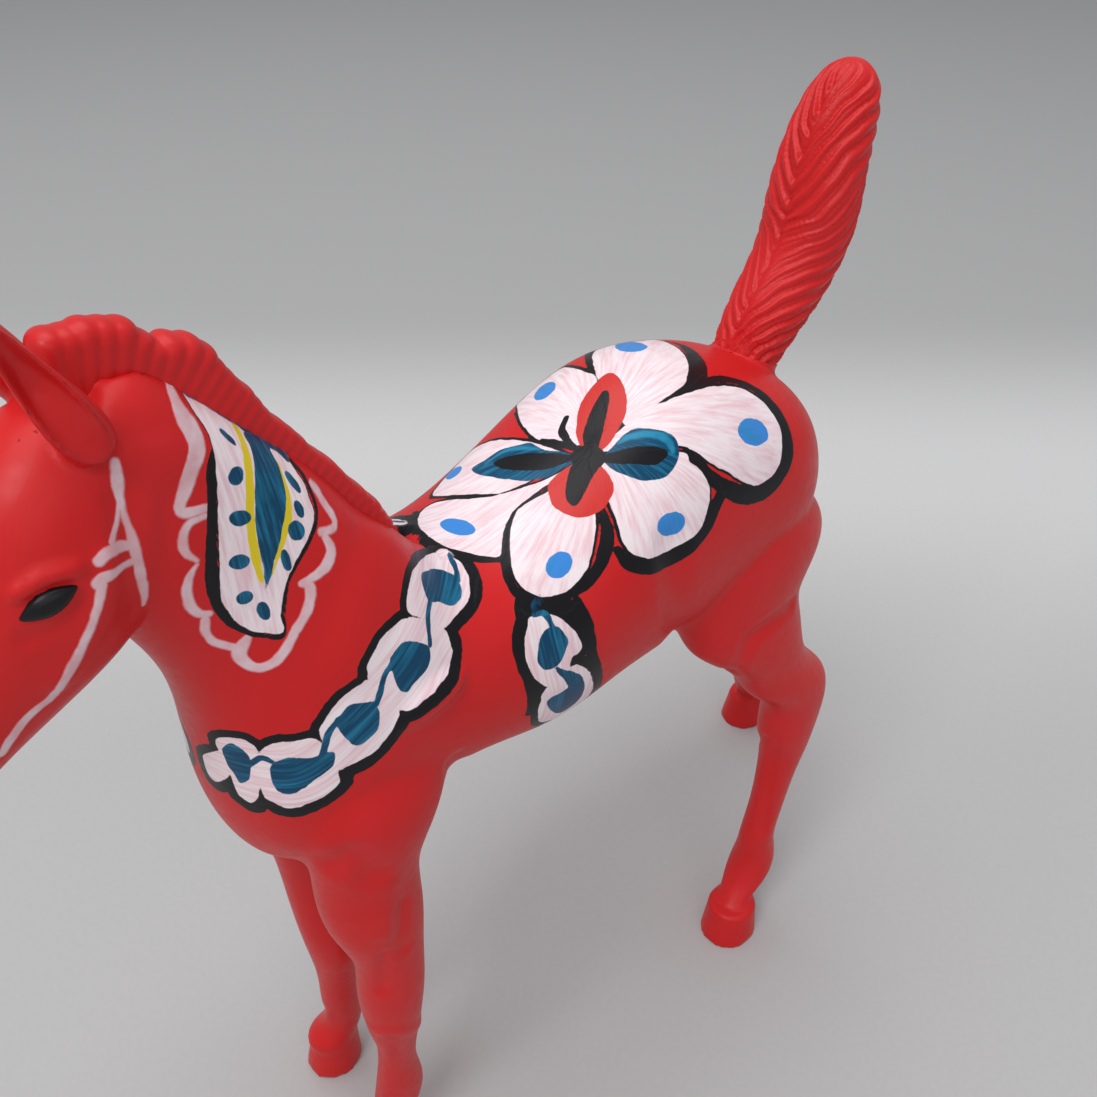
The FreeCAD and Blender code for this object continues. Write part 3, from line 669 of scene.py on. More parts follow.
# How the finishes shine: specular level, weight of the clear coat and its roughness.
RED_GLOSS = (0.22, 0.10, 0.3)
DECORATED_GLOSS = (0.18, 0.10, 0.3)
EYE_GLOSS = (0.2, 0.05, 0.15)


def sprayed_group():
    """The sprayed coat: its tint, gloss and fine unevenness over the moulded plastic."""
    if "sprayed_coat" in bpy.data.node_groups:
        return bpy.data.node_groups["sprayed_coat"]
    group = bpy.data.node_groups.new("sprayed_coat", "ShaderNodeTree")
    for label, kind in (("Coat", "NodeSocketColor"), ("Thin", "NodeSocketColor")):
        group.interface.new_socket(label, in_out="INPUT", socket_type=kind)
    for label, kind in (("Color", "NodeSocketColor"), ("Roughness", "NodeSocketFloat"),
                        ("Height", "NodeSocketFloat")):
        group.interface.new_socket(label, in_out="OUTPUT", socket_type=kind)
    given = group.nodes.new("NodeGroupInput")
    result = group.nodes.new("NodeGroupOutput")
    place = group.nodes.new("ShaderNodeTexCoord").outputs["Object"]
    cloud = noise_node(group, place, CLOUDS, 3.0)
    speckle = noise_node(group, place, SPECKLES)
    orange_peel = noise_node(group, place, ORANGE_PEEL)
    thin = ramp(group, cloud, *THIN_SPRAY)
    colour = mix_colour(group, thin, given.outputs["Coat"], given.outputs["Thin"])
    group.links.new(colour, result.inputs["Color"])
    fine_rough = ramp(group, speckle, *SPRAY_ROUGHNESS)
    rough = math_node(group, "ADD", ramp(group, cloud, *CLOUD_ROUGHNESS), fine_rough)
    group.links.new(rough, result.inputs["Roughness"])
    height = math_node(group, "ADD", math_node(group, "MULTIPLY", orange_peel, PEEL_SHARE), speckle)
    group.links.new(height, result.inputs["Height"])
    return group


def sprayed_coat(tree, settings):
    """Places the sprayed coat in a material and returns its colour, roughness and height."""
    node = tree.nodes.new("ShaderNodeGroup")
    node.node_tree = sprayed_group()
    node.inputs["Coat"].default_value = (*settings.coat, 1)
    node.inputs["Thin"].default_value = (*settings.coat_thin, 1)
    return node.outputs["Color"], node.outputs["Roughness"], node.outputs["Height"]


def bump_node(tree, height, distance, strength, under=None):
    """A bump from a height."""
    node = tree.nodes.new("ShaderNodeBump")
    node.inputs["Distance"].default_value = distance
    node.inputs["Strength"].default_value = strength
    tree.links.new(height, node.inputs["Height"])
    if under is not None:
        tree.links.new(under, node.inputs["Normal"])
    return node.outputs["Normal"]


def finish_coat(shader, gloss):
    """The thin clear gloss that sits on the paint."""
    for socket, value in zip(("Specular IOR Level", "Coat Weight", "Coat Roughness"), gloss):
        shader.inputs[socket].default_value = value


def red_material():
    """The plain sprayed red of legs, ears, mane and tail."""
    if "red_coat" in bpy.data.materials:
        return bpy.data.materials["red_coat"]
    settings = bpy.context.scene.foal_paint
    material, tree, shader = new_material("red_coat", settings.coat)
    colour, rough, height = sprayed_coat(tree, settings)
    tree.links.new(colour, shader.inputs["Base Color"])
    tree.links.new(rough, shader.inputs["Roughness"])
    tree.links.new(bump_node(tree, height, GRAIN_HEIGHT, GRAIN_BUMP), shader.inputs["Normal"])
    finish_coat(shader, RED_GLOSS)
    return material


# The layers of the ornament from the first to the last: each with its colour setting and its edge's softness.
LAYERS = [("pale", "pale", 0.16), ("black", "ink", 0.05), ("white", "white", 0.06),
          ("yellow", "yellow", 0.07), ("crimson", "crimson", 0.06), ("teal", "teal", 0.06),
          ("light", "teal_light", 0.25), ("blue", "blue", 0.05), ("ink", "ink", 0.05)]


def decorated_material():
    """The sprayed red with the ornament brushed over it, layer by layer."""
    if "decorated_coat" in bpy.data.materials:
        return bpy.data.materials["decorated_coat"]
    settings = bpy.context.scene.foal_paint
    material, tree, shader = new_material("decorated_coat", settings.coat)
    colour, rough, height = sprayed_coat(tree, settings)
    place = tree.nodes.new("ShaderNodeTexCoord").outputs["Object"]
    brush = tree.nodes.new("ShaderNodeAttribute")
    brush.attribute_name = "brush"
    stretch = tree.nodes.new("ShaderNodeMapping")
    stretch.inputs["Scale"].default_value = STREAKS
    tree.links.new(brush.outputs["Vector"], stretch.inputs["Vector"])
    streak = noise_node(tree, stretch.outputs["Vector"], 1.0, 3.0, 0.6)
    patch = noise_node(tree, place, PATCHES)
    wander = math_node(tree, "SUBTRACT", noise_node(tree, place, WANDER), 0.5)
    wander = math_node(tree, "MULTIPLY", wander, EDGE_WANDER)
    covered = None
    for layer, setting, soft in LAYERS:
        attribute = tree.nodes.new("ShaderNodeAttribute")
        attribute.attribute_name = layer
        gap = math_node(tree, "ADD", attribute.outputs["Fac"], wander)
        mask = ramp(tree, gap, -soft, soft, 1.0, 0.0)
        tint = tuple(getattr(settings, setting))
        if layer == "white":
            patches = math_node(tree, "MULTIPLY", patch, PATCH_SHARE)
            pink = ramp(tree, math_node(tree, "ADD", streak, patches), *PINK_STREAKS)
            tint = mix_colour(tree, pink, tint, tuple(settings.white_thin))
        elif layer in ("teal", "blue"):
            light = ramp(tree, streak, *LIGHT_STREAKS)
            tint = mix_colour(tree, light, tint, tuple(settings.teal_light))
        elif layer in ("pale", "light"):
            thin = ramp(tree, noise_node(tree, place, THINNING, 3.0), *PALE_COVER)
            mask = math_node(tree, "MULTIPLY", mask, thin)
        colour = mix_colour(tree, mask, colour, tint)
        covered = mask if covered is None else math_node(tree, "MAXIMUM", covered, mask)
    tree.links.new(colour, shader.inputs["Base Color"])
    brushed = ramp(tree, streak, *BRUSHED_ROUGHNESS)
    rough_mix = tree.nodes.new("ShaderNodeMix")
    tree.links.new(covered, rough_mix.inputs[0])
    tree.links.new(rough, rough_mix.inputs[2])
    tree.links.new(brushed, rough_mix.inputs[3])
    tree.links.new(rough_mix.outputs[0], shader.inputs["Roughness"])
    sprayed = bump_node(tree, height, GRAIN_HEIGHT, GRAIN_BUMP)
    ridges = math_node(tree, "MULTIPLY", math_node(tree, "MULTIPLY", streak, covered), RIDGE_SHARE)
    relief = math_node(tree, "ADD", covered, ridges)
    tree.links.new(bump_node(tree, relief, BRUSH_HEIGHT, BRUSH_BUMP, sprayed), shader.inputs["Normal"])
    finish_coat(shader, DECORATED_GLOSS)
    return material


def eye_material():
    """The glossy black of the eyes, with lighter patches of painted sheen."""
    if "eye_gloss" in bpy.data.materials:
        return bpy.data.materials["eye_gloss"]
    settings = bpy.context.scene.foal_paint
    material, tree, shader = new_material("eye_gloss", settings.ink)
    place = tree.nodes.new("ShaderNodeTexCoord").outputs["Object"]
    patch = noise_node(tree, place, SPECKLES)
    # The lighter patches mixed into the black are a painted sheen.
    colour = mix_colour(tree, patch, tuple(settings.ink), tuple(settings.ink_painted_sheen))
    tree.links.new(colour, shader.inputs["Base Color"])
    tree.links.new(ramp(tree, patch, *EYE_ROUGHNESS), shader.inputs["Roughness"])
    finish_coat(shader, EYE_GLOSS)
    return material


# The floor's painted light, by the distance before the camera in metres: a painted falloff that darkens it
# far away, and a painted light band across it. Each is where it starts and ends, and the shade there.
PAINTED_FLOOR_FALLOFF = (0.25, 0.46, 0.88, 0.77)
PAINTED_LIGHT_BAND_RISE = (0.17, 0.30, 0.0, 0.30)
PAINTED_LIGHT_BAND_FALL = (0.305, 0.42, 1.0, 0.0)


def floor_material():
    """The pale grey floor, with painted shade that darkens it far away and a soft painted light band across
    it.
    """
    settings = bpy.context.scene.foal_stage
    material, tree, shader = new_material("floor_paper", settings.floor)
    place = tree.nodes.new("ShaderNodeTexCoord").outputs["Object"]
    light = ramp(tree, noise_node(tree, place, SPECKLES), *FLOOR_SPECKLES)
    _, _, forward = camera_axes()
    away = forward[:2] / np.linalg.norm(forward[:2])
    reach = tree.nodes.new("ShaderNodeVectorMath")
    reach.operation = "DOT_PRODUCT"
    tree.links.new(place, reach.inputs[0])
    reach.inputs[1].default_value = (*away, 0)
    reach = math_node(tree, "SUBTRACT", reach.outputs["Value"], float(away @ CAMERA_PLACE[:2]) * MM)
    # Painted light: the floor is painted darker away from the camera, with a painted light band across it.
    rise = ramp(tree, reach, *PAINTED_LIGHT_BAND_RISE)
    band = math_node(tree, "MULTIPLY", rise, ramp(tree, reach, *PAINTED_LIGHT_BAND_FALL))
    shade = math_node(tree, "ADD", ramp(tree, reach, *PAINTED_FLOOR_FALLOFF), band)
    painted_light_paper = tree.nodes.new("ShaderNodeVectorMath")
    painted_light_paper.operation = "SCALE"
    tree.links.new(mix_colour(tree, light, tuple(settings.floor), (1.0, 1.0, 1.0)), painted_light_paper.inputs[0])
    tree.links.new(shade, painted_light_paper.inputs["Scale"])
    tree.links.new(painted_light_paper.outputs["Vector"], shader.inputs["Base Color"])
    shader.inputs["Roughness"].default_value = 0.8
    return material


# The back is charted by the distance towards the tail and the distance round the trunk from its topline.
BACK_AXIS_HEIGHT = 96.0
BACK_RADIUS = 18.0


def back_chart(points, _=None):
    """Places on the trunk: towards the tail, and round from the topline, left side up."""
    angle = np.arctan2(points[:, 0], points[:, 2] - BACK_AXIS_HEIGHT)
    return np.stack([points[:, 1], BACK_RADIUS * angle], axis=1)


def side_chart(points, _=None):
    """Places on the side of the neck: towards the tail, and up."""
    return points[:, 1:]


# Where rays find the hidden half of a band, as shares of the way from the median to its last seen place, and
# how far from the middle of the foal they start.
BAND_SHARES = (0.75, 0.5, 0.25, 0)
RAY_START = 200


class Band:
    """A beaded band round the body: its seen half, its hidden rest found by rays, and its mirror."""

    def __init__(self, tree, pixels, direction):
        left, _ = seen(tree, pixels)
        hidden = []
        for share in BAND_SHARES:
            across = MEDIAN + (left[-1][0] - MEDIAN) * share
            level = (across, *left[-1][1:])
            start = np.where(np.array(direction) == 0, level, -RAY_START * np.array(direction))
            hidden.append(np.array(tree.ray_cast(Vector(start * MM), Vector(direction))[0]) / MM)
        half = np.vstack([left, hidden])
        line = smooth_line(np.vstack([half, mirrored(half[-2::-1])]), steps=6)
        self.line = np.array([np.array(tree.find_nearest(Vector(point * MM))[0]) / MM for point in line])
        self.walked = walked_along(self.line)
        tangent = np.gradient(self.line, axis=0)
        self.tangent = tangent / np.linalg.norm(tangent, axis=1, keepdims=True)

    def chart(self, points, normals):
        """How far beside the band's middle each point is, and how far along it from the nearer end."""
        gap, place = line_distance(points, self.line, with_place=True)
        index = np.clip(np.searchsorted(self.walked, place), 0, len(self.line) - 1)
        across = np.cross(normals, self.tangent[index])
        side = np.where(((points - self.line[index]) * across).sum(1) < 0, -1, 1)
        return np.stack([gap * side, np.minimum(place, self.walked[-1] - place)], axis=1)


def drawing_of(tree, chart, table):
    """Charted outlines and strokes of an ornament: for each, its layer, its places and its radii or None."""
    made = []
    for layer, outlines, strokes in table:
        for outline in outlines:
            places, normals = seen(tree, outline)
            made.append((layer, chart(places, normals), None))
        for stations in strokes:
            places, normals, radii = seen_stroke(tree, stations)
            made.append((layer, chart(places, normals), radii))
    return made


def ornament(tree):
    """Every drawing of the ornament, carried onto the skin."""
    breast = Band(tree, BREAST_LINE, (0, 1, 0))
    girth = Band(tree, GIRTH_LINE, (0, 0, 1))
    dots = [oval(*dot) for dot in PETAL_DOTS]
    leaf_dots = [oval(*dot) for dot in LEAF_DOTS]
    return {
        "flower": drawing_of(tree, back_chart, (
            ("white", PETALS.values(), ()), ("black", (), PETAL_EDGE), ("teal", TEAL_PETALS, ()),
            ("light", (), TEAL_LIGHTS), ("crimson", CRIMSON_PETALS, ()), ("ink", PETAL_CORES, PETAL_CURLS),
            ("blue", dots, ()))),
        "leaf": drawing_of(tree, side_chart, (
            ("white", [LEAF], ()), ("black", (), [LEAF_SHADOW]), ("yellow", (), LEAF_YELLOW),
            ("teal", [LEAF_TEAL, *leaf_dots], [LEAF_RIDGE]), ("pale", (), SCALLOPS))),
        "breast": (breast, drawing_of(tree, breast.chart, (
            ("white", BREAST_LOBES, ()), ("teal", BREAST_BEADS, BREAST_STRAND)))),
        "girth": (girth, drawing_of(tree, girth.chart, (
            ("white", GIRTH_LOBES, ()), ("teal", GIRTH_BEADS, GIRTH_STRAND), ("black", (), GIRTH_GROUND)))),
        "bridle": [seen_stroke(tree, stations) for stations in BRIDLE],
    }


def drawn(chart, drawing):
    """How far each charted place is from the edge of every layer of a drawing."""
    found = {name: np.full(len(chart), FAR) for name, _, _ in LAYERS}
    for layer, places, radii in drawing:
        gap = outline_distance(chart, places) if radii is None else stroke_distance(chart, places, radii)
        found[layer] = np.minimum(found[layer], gap)
    return found


def add_layers(layers, near, found):
    """Adds what was drawn near a place to the layers of the whole skin."""
    for name, value in found.items():
        layers[name][near] = np.minimum(layers[name][near], value)


def band_layers(points, normals, band, drawing, layers, brush):
    """A beaded band: its white lobes on a black ground, its teal beads and the strand between them."""
    near = line_distance(points, band.line[::3]) < BAND_REACH
    chart = band.chart(points[near], normals[near])
    found = drawn(chart, drawing)
    lobes = [places for layer, places, _ in drawing if layer == "white"]
    drawn_end = lobes[-1][:, 1].max()
    hidden = band.walked[-1] / 2 - drawn_end
    if hidden > HIDDEN_LEAST:
        step = hidden / HIDDEN_LOBES
        for number in range(HIDDEN_LOBES):
            centre = drawn_end + (number + 0.5) * step
            turn = HIDDEN_BEAD_TURN if number % 2 else -HIDDEN_BEAD_TURN
            lobe = outline_distance(chart, oval((HIDDEN_LOBE_ASIDE, centre), HIDDEN_LOBE, 0))
            bead = outline_distance(chart, oval((HIDDEN_BEAD_ASIDE, centre), HIDDEN_BEAD, turn))
            found["white"] = np.minimum(found["white"], lobe)
            found["teal"] = np.minimum(found["teal"], bead)
        beside = chart[:, 0] - HIDDEN_SWAY * np.sin(math.pi * (chart[:, 1] - drawn_end) / step)
        strand = np.maximum(np.abs(beside) - HIDDEN_STRAND, drawn_end - chart[:, 1])
        found["teal"] = np.minimum(found["teal"], strand)
    found["black"] = np.minimum(found["black"], found["white"] - np.interp(chart[:, 0], *BAND_BLACK))
    add_layers(layers, near, found)
    brush[near] = np.stack([chart[:, 0], chart[:, 1] * BAND_STREAK, np.full(len(chart), BAND_START)], axis=1)


def flower_layers(points, drawing, layers, brush):
    """The seven-petalled flower over the loins."""
    near = within(points, *FLOWER_REGION)
    chart = back_chart(points[near])
    found = drawn(chart, drawing)
    petals = [places for layer, places, _ in drawing if layer == "white"]
    offset = chart - np.mean([petal.mean(0) for petal in petals], axis=0)
    angle = np.arctan2(offset[:, 1], offset[:, 0])
    reach = np.hypot(offset[:, 0], offset[:, 1])
    number = np.argmin([outline_distance(chart, petal) for petal in petals], axis=0)
    edge = PETAL_BLACK + PETAL_BLACK_SWELL * np.sin(angle * PETAL_BLACK_WAVES)
    found["black"] = np.minimum(found["black"], found["white"] - edge)
    add_layers(layers, near, found)
    inner = found["black"] < 1
    over = near.copy()
    over[near] = inner
    brush[over] = np.stack([angle[inner] * FLOWER_STREAK, reach[inner], number[inner] * PETAL_START], axis=1)


def leaf_layers(points, side, drawing, layers, brush):
    """The leaf on the neck with the loose scalloped line round it, on one side of the foal."""
    near = within(points if side == 1 else mirrored(points), *LEAF_REGION)
    chart = side_chart(points[near])
    found = drawn(chart, drawing)
    found["black"] = np.minimum(found["black"], found["white"] - LEAF_BLACK)
    add_layers(layers, near, found)
    inner = found["white"] < 1
    over = near.copy()
    over[near] = inner
    brush[over] = np.stack([chart[inner, 0], chart[inner, 1], np.full(inner.sum(), LEAF_START)], axis=1)


def ornament_layers(points, normals, drawings):
    """For each colour, how far every point is from its edge, and the direction of the brush."""
    layers = {name: np.full(len(points), FAR) for name, _, _ in LAYERS}
    brush = np.zeros((len(points), 3))
    for name in ("breast", "girth"):
        band_layers(points, normals, *drawings[name], layers, brush)
    flower_layers(points, drawings["flower"], layers, brush)
    for side in (1, -1):
        leaf_layers(points, side, drawings["leaf"], layers, brush)
        for places, _, radii in drawings["bridle"]:
            laid = places if side == 1 else mirrored(places)
            layers["pale"] = np.minimum(layers["pale"], stroke_distance(points, laid, radii))
    return layers, brush


def paint_ornament(piece, drawings):
    """Stores the layers of the ornament on a piece."""
    mesh = piece.data
    points, _ = mesh_arrays(mesh)
    layers, brush = ornament_layers(points, vertex_normals(mesh), drawings)
    for name, value in layers.items():
        attribute = mesh.attributes.new(name, "FLOAT", "POINT")
        attribute.data.foreach_set("value", np.minimum(value, FAR))
    attribute = mesh.attributes.new("brush", "FLOAT_VECTOR", "POINT")
    attribute.data.foreach_set("vector", brush.ravel())


def carve(points, normals, line, reach, height):
    """Raises or sinks the skin along a line."""
    path = smooth_line(line, steps=4) if len(line) > 1 else np.vstack([line, line])
    near = near_box(points, path, reach)
    if near.any():
        gap = line_distance(points[near], path) / reach
        points[near] += normals[near] * (height * np.clip(1 - gap ** 2, 0, 1) ** 2)[:, None]


def hollow_ear(points, normals, tree, name, side):
    """Sinks the hollow of an ear, but never through it."""
    ear, _ = mesh_arrays(frame["nodes"][name].data)
    root = ear[ear[:, 2] < np.quantile(ear[:, 2], EAR_ROOT)].mean(0)
    axis = ear[ear[:, 2].argmax()] - root
    length = np.linalg.norm(axis)
    axis /= length
    face = np.array((side * EAR_FACE[0], *EAR_FACE[1:]))
    face -= axis * (face @ axis)
    face /= np.linalg.norm(face)
    width = np.cross(axis, face)
    spread = (ear - root) @ width
    centre, half = (spread.max() + spread.min()) / 2, (spread.max() - spread.min()) / 2
    offset = points - root
    along = offset @ axis / length
    taper = np.sqrt(np.clip(1 - ((along - EAR_WIDEST) / (1 - EAR_WIDEST)) ** 2, 0.0001, 1))
    beside = (offset @ width - centre * (1 - along)) / (EAR_WIDE_SHARE * half * taper)
    near = (np.abs(beside) < 1) & (along > EAR_BEGIN) & (along < EAR_END)
    near &= (normals @ face > EAR_FACING) & (np.abs(offset @ face) < EAR_REACH)
    for index in np.flatnonzero(near):
        start = Vector((points[index] - face * EAR_PROBE) * MM)
        hit = tree.ray_cast(start, Vector(-face))[0]
        thick = 0 if hit is None else (hit - start).length / MM
        depth = min(EAR_DEPTH, EAR_THICK_SHARE * thick) * (1 - beside[index] ** 2) ** EAR_BOWL
        begun = (along[index] - EAR_BEGIN) / EAR_BEGIN_SOFT
        ending = (EAR_END - along[index]) / EAR_END_SOFT
        points[index] -= face * depth * min(1, begun, ending)


def carve_skin(mesh):
    """Carves the muscles, the brow, the nostrils, the mouth and the hollows of the ears."""
    points, _ = mesh_arrays(mesh)
    normals = vertex_normals(mesh)
    tree = mesh_tree(mesh)
    for pixels, reach, height, both in STROKES.values():
        line, _ = seen(tree, pixels)
        for laid in (line, mirrored(line)) if both else (line,):
            carve(points, normals, laid, reach, height)
    tip = points[points[:, 1].argmin()]
    for side in (1, -1):
        sized = np.array([[side * x, y, z] for x, y, z in (NOSTRIL, *MOUTH)]) + (MEDIAN, tip[1], tip[2])
        laid = np.array([np.array(tree.find_nearest(Vector(point * MM))[0]) / MM for point in sized])
        carve(points, normals, laid[:1], *NOSTRIL_CUT)
        carve(points, normals, laid[1:], *MOUTH_CUT)
    for name, side in (("ear_left", 1), ("ear_right", -1)):
        hollow_ear(points, normals, tree, name, side)
    points[:, 2] = np.maximum(points[:, 2], 0)
    put_points(mesh, points)


def skin_mesh(settings):
    """The whole outer skin of the foal, fused from its solids, softened and carved."""
    mesh = fused_mesh("skin", [node.data for node in frame["nodes"].values()], settings.voxel)
    points, edges = mesh_arrays(mesh)
    points = relaxed(points, edges, settings.soften_steps)
    rooted = np.clip(1 - np.abs(points[:, 2] - BELLY_JOINT - ROOT_RISE) / ROOT_REACH, 0, 1)
    rooted *= points[:, 2] > ROOT_FLOOR
    points = relaxed(points, edges, settings.blend_steps, rooted, swell=0)
    put_points(mesh, points)
    carve_skin(mesh)
    return mesh


# The pivot that the crest of the neck bends round, the angles that hold the mane, in degrees, how deep its
# tongue sits, where it ends at the forehead, its least height, and from how far above that is measured.
MANE_PIVOT = (-60.0, 105.0)
MANE_ANGLES = (-10, 110)
MANE_SEAT = 2.0
MANE_FRONT = -54.2
MANE_LEAST = 0.8
MANE_PROBE = 20

# The skin under the mane: half the width that is lowered, how far round the crest, and how far under it.
SUNK_HALF = 2.6
SUNK_REACH = 7
SUNK_DEPTH = 0.3


def crest_line(count=92):
    """The crest under the mane, from withers to forelock, its upright, and the mane's height there."""
    tree = mesh_tree(frame["nodes"]["mane_strip"].data)
    pivot = np.array((MEDIAN, *MANE_PIVOT))
    feet = []
    for angle in np.radians(np.linspace(*MANE_ANGLES, count)):
        ray = np.array((0, math.cos(angle), math.sin(angle)))
        hit = tree.ray_cast(Vector(pivot * MM), Vector(ray))[0]
        if hit is not None:
            feet.append(np.array(hit) / MM + ray * MANE_SEAT)
    feet = np.array(feet)
    for _ in range(3):
        feet[1:-1] = (feet[:-2] + 2 * feet[1:-1] + feet[2:]) / 4
    run = np.gradient(feet, axis=0)
    upright = np.stack([np.zeros(len(feet)), run[:, 2], -run[:, 1]], axis=1)
    upright /= np.linalg.norm(upright, axis=1, keepdims=True)
    heights = []
    for foot, rise in zip(feet, upright):
        hit = tree.ray_cast(Vector((foot + rise * MANE_PROBE) * MM), Vector(-rise))[0]
        heights.append(0 if hit is None else (np.array(hit) / MM - foot) @ rise)
    kept = (np.array(heights) > MANE_LEAST) & (feet[:, 1] > MANE_FRONT)
    return feet[kept], upright[kept], np.array(heights)[kept]


def sink_mane(mesh, crest):
    """Lowers the skin under the mane to the crest, where the mane's own piece covers it."""
    feet, upright, _ = crest
    points, _ = mesh_arrays(mesh)
    near = (np.abs(points[:, 0] - MEDIAN) < SUNK_HALF) & near_box(points, feet, SUNK_REACH)
    local = points[near]
    gaps = np.linalg.norm(local[:, None, 1:] - feet[None, :, 1:], axis=2)
    index = gaps.argmin(1)
    rise = ((local - feet[index]) * upright[index]).sum(1)
    points[near] = local - upright[index] * np.clip(rise + SUNK_DEPTH, 0, None)[:, None]
    put_points(mesh, points)


# How near to an edge of the paint the skin's faces are split, and how near to a thin stroke once more.
EDGE_LIMIT = 0.24
THIN_LIMIT = 0.10


def refine(whole, drawings):
    """Splits the faces of the skin along the edges of the paint, so that thin strokes stay clean."""
    for limit, thin in ((EDGE_LIMIT, False), (THIN_LIMIT, True)):
        points = np.array([vert.co for vert in whole.verts]) / MM
        normals = np.array([vert.normal for vert in whole.verts])
        layers, _ = ornament_layers(points, normals, drawings)
        if thin:
            wanted = np.minimum(layers["pale"], layers["ink"]) < limit
        else:
            wanted = np.min([np.abs(value) for value in layers.values()], axis=0) < limit
        whole.verts.ensure_lookup_table()
        faces = {face for index in np.flatnonzero(wanted) for face in whole.verts[index].link_faces}
        edges = {edge for face in faces for edge in face.edges}
        bmesh.ops.subdivide_edges(whole, edges=list(edges), cuts=1, use_grid_fill=True)
        whole.verts.index_update()


def cut_loops(made, centre, normal, reach=None):
    """Cuts the faces of a mesh by a plane, near a point if a reach is given."""
    centre = Vector(centre) * MM
    faces = list(made.faces)
    if reach:
        faces = [face for face in faces if (face.calc_center_median() - centre).length < reach * MM]
    edges = {edge for face in faces for edge in face.edges}
    verts = {vert for face in faces for vert in face.verts}
    bmesh.ops.bisect_plane(made, geom=[*verts, *edges, *faces], dist=MM * 0.001, plane_co=centre,
                           plane_no=Vector(normal))


# How far above its lowest point each ear and the tail leave the skin, and the lean of those joints.
EAR_SEAT = 3.4
EAR_LEAN = (0.12, -0.66, 0.74)
TAIL_SEAT = 4.5
TAIL_LEAN = (0.0, 0.42, 0.9)
JOINT_REACH = 14        # how far from its root such a joint cuts the skin
PIECE_REACH = 22        # how far to the side of its root such a piece reaches
EAR_FROM_MEDIAN = 3     # how far from the median an ear begins


def joint_planes():
    """A point and the normal of the plane at which each ear and the tail leave the skin."""
    planes = {}
    for name, side, seat, lean in (("ear_left", 1, EAR_SEAT, EAR_LEAN), ("ear_right", -1, EAR_SEAT, EAR_LEAN),
                                   ("tail", 1, TAIL_SEAT, TAIL_LEAN)):
        points, _ = mesh_arrays(frame["nodes"][name].data)
        normal = np.array((side * lean[0], lean[1], lean[2]))
        normal /= np.linalg.norm(normal)
        level = (points @ normal).min()
        root = points[points @ normal < level + seat].mean(0)
        planes[name] = (root + normal * (level + seat - root @ normal), normal)
    return planes


def piece_of(centre, planes):
    """The name of the piece that a point of the skin belongs to."""
    place = centre / MM
    x, y, z = place
    if z < BELLY_JOINT:
        return ("foreleg" if y < 0 else "hindleg") + ("_left" if x > MEDIAN else "_right")
    for name, (root, normal) in planes.items():
        offset = place - root
        if offset @ normal < 0 or np.linalg.norm(offset[:2]) > PIECE_REACH:
            continue
        if name == "tail" or (abs(x - MEDIAN) > EAR_FROM_MEDIAN and (x > MEDIAN) == (name == "ear_left")):
            return name
    return "body_shell_left" if x > MEDIAN else "body_shell_right"


def divide(mesh, drawings):
    """Cuts the skin into its named pieces, each closed at its joints and with normals of the whole skin."""
    normals = vertex_normals(mesh)
    attribute = mesh.attributes.new("skin_normal", "FLOAT_VECTOR", "POINT")
    attribute.data.foreach_set("vector", normals.ravel())
    whole = bmesh.new()
    whole.from_mesh(mesh)
    refine(whole, drawings)
    planes = joint_planes()
    cut_loops(whole, (0, 0, BELLY_JOINT), (0, 0, 1))
    cut_loops(whole, (MEDIAN, 0, 0), (1, 0, 0))
    for root, normal in planes.values():
        cut_loops(whole, root, normal, JOINT_REACH)
    whole.verts.index_update()
    store = whole.verts.layers.float_vector["skin_normal"]
    groups = {}
    for face in whole.faces:
        groups.setdefault(piece_of(np.array(face.calc_center_median()), planes), []).append(face)
    made = {}
    for name, faces in groups.items():
        if name == "tail":
            continue
        part = bmesh.new()
        layer = part.verts.layers.float_vector.new("skin_normal")
        known = {}
        for face in faces:
            corners = []
            for vert in face.verts:
                if vert.index not in known:
                    known[vert.index] = part.verts.new(vert.co)
                    known[vert.index][layer] = vert[store]
                corners.append(known[vert.index])
            part.faces.new(corners)
        skin_faces = len(part.faces)
        rim = [edge for edge in part.edges if edge.is_boundary]
        caps = bmesh.ops.holes_fill(part, edges=rim, sides=0)["faces"]
        bmesh.ops.triangulate(part, faces=caps)
        part_mesh = bpy.data.meshes.new(name)
        part.to_mesh(part_mesh)
        part.free()
        made[name] = (part_mesh, skin_faces)
    whole.free()
    return made


def keep_skin_normals(mesh, skin_faces):
    """Shades a piece with the normals of the whole skin, and its joint faces flat."""
    stored = np.zeros(len(mesh.vertices) * 3)
    mesh.attributes["skin_normal"].data.foreach_get("vector", stored)
    stored = stored.reshape(-1, 3)
    corners = np.zeros(len(mesh.loops), int)
    mesh.loops.foreach_get("vertex_index", corners)
    totals = np.zeros(len(mesh.polygons), int)
    mesh.polygons.foreach_get("loop_total", totals)
    flat = np.zeros(len(mesh.polygons) * 3)
    mesh.polygons.foreach_get("normal", flat)
    face_of = np.repeat(np.arange(len(totals)), totals)
    normals = np.where((face_of < skin_faces)[:, None], stored[corners], flat.reshape(-1, 3)[face_of])
    mesh.normals_split_custom_set(normals.tolist())
    mesh.attributes.remove(mesh.attributes["skin_normal"])


def paint_colour(name, description, value):
    """A colour setting of the paint."""
    return bpy.props.FloatVectorProperty(name=name, description=description, subtype="COLOR", default=value)


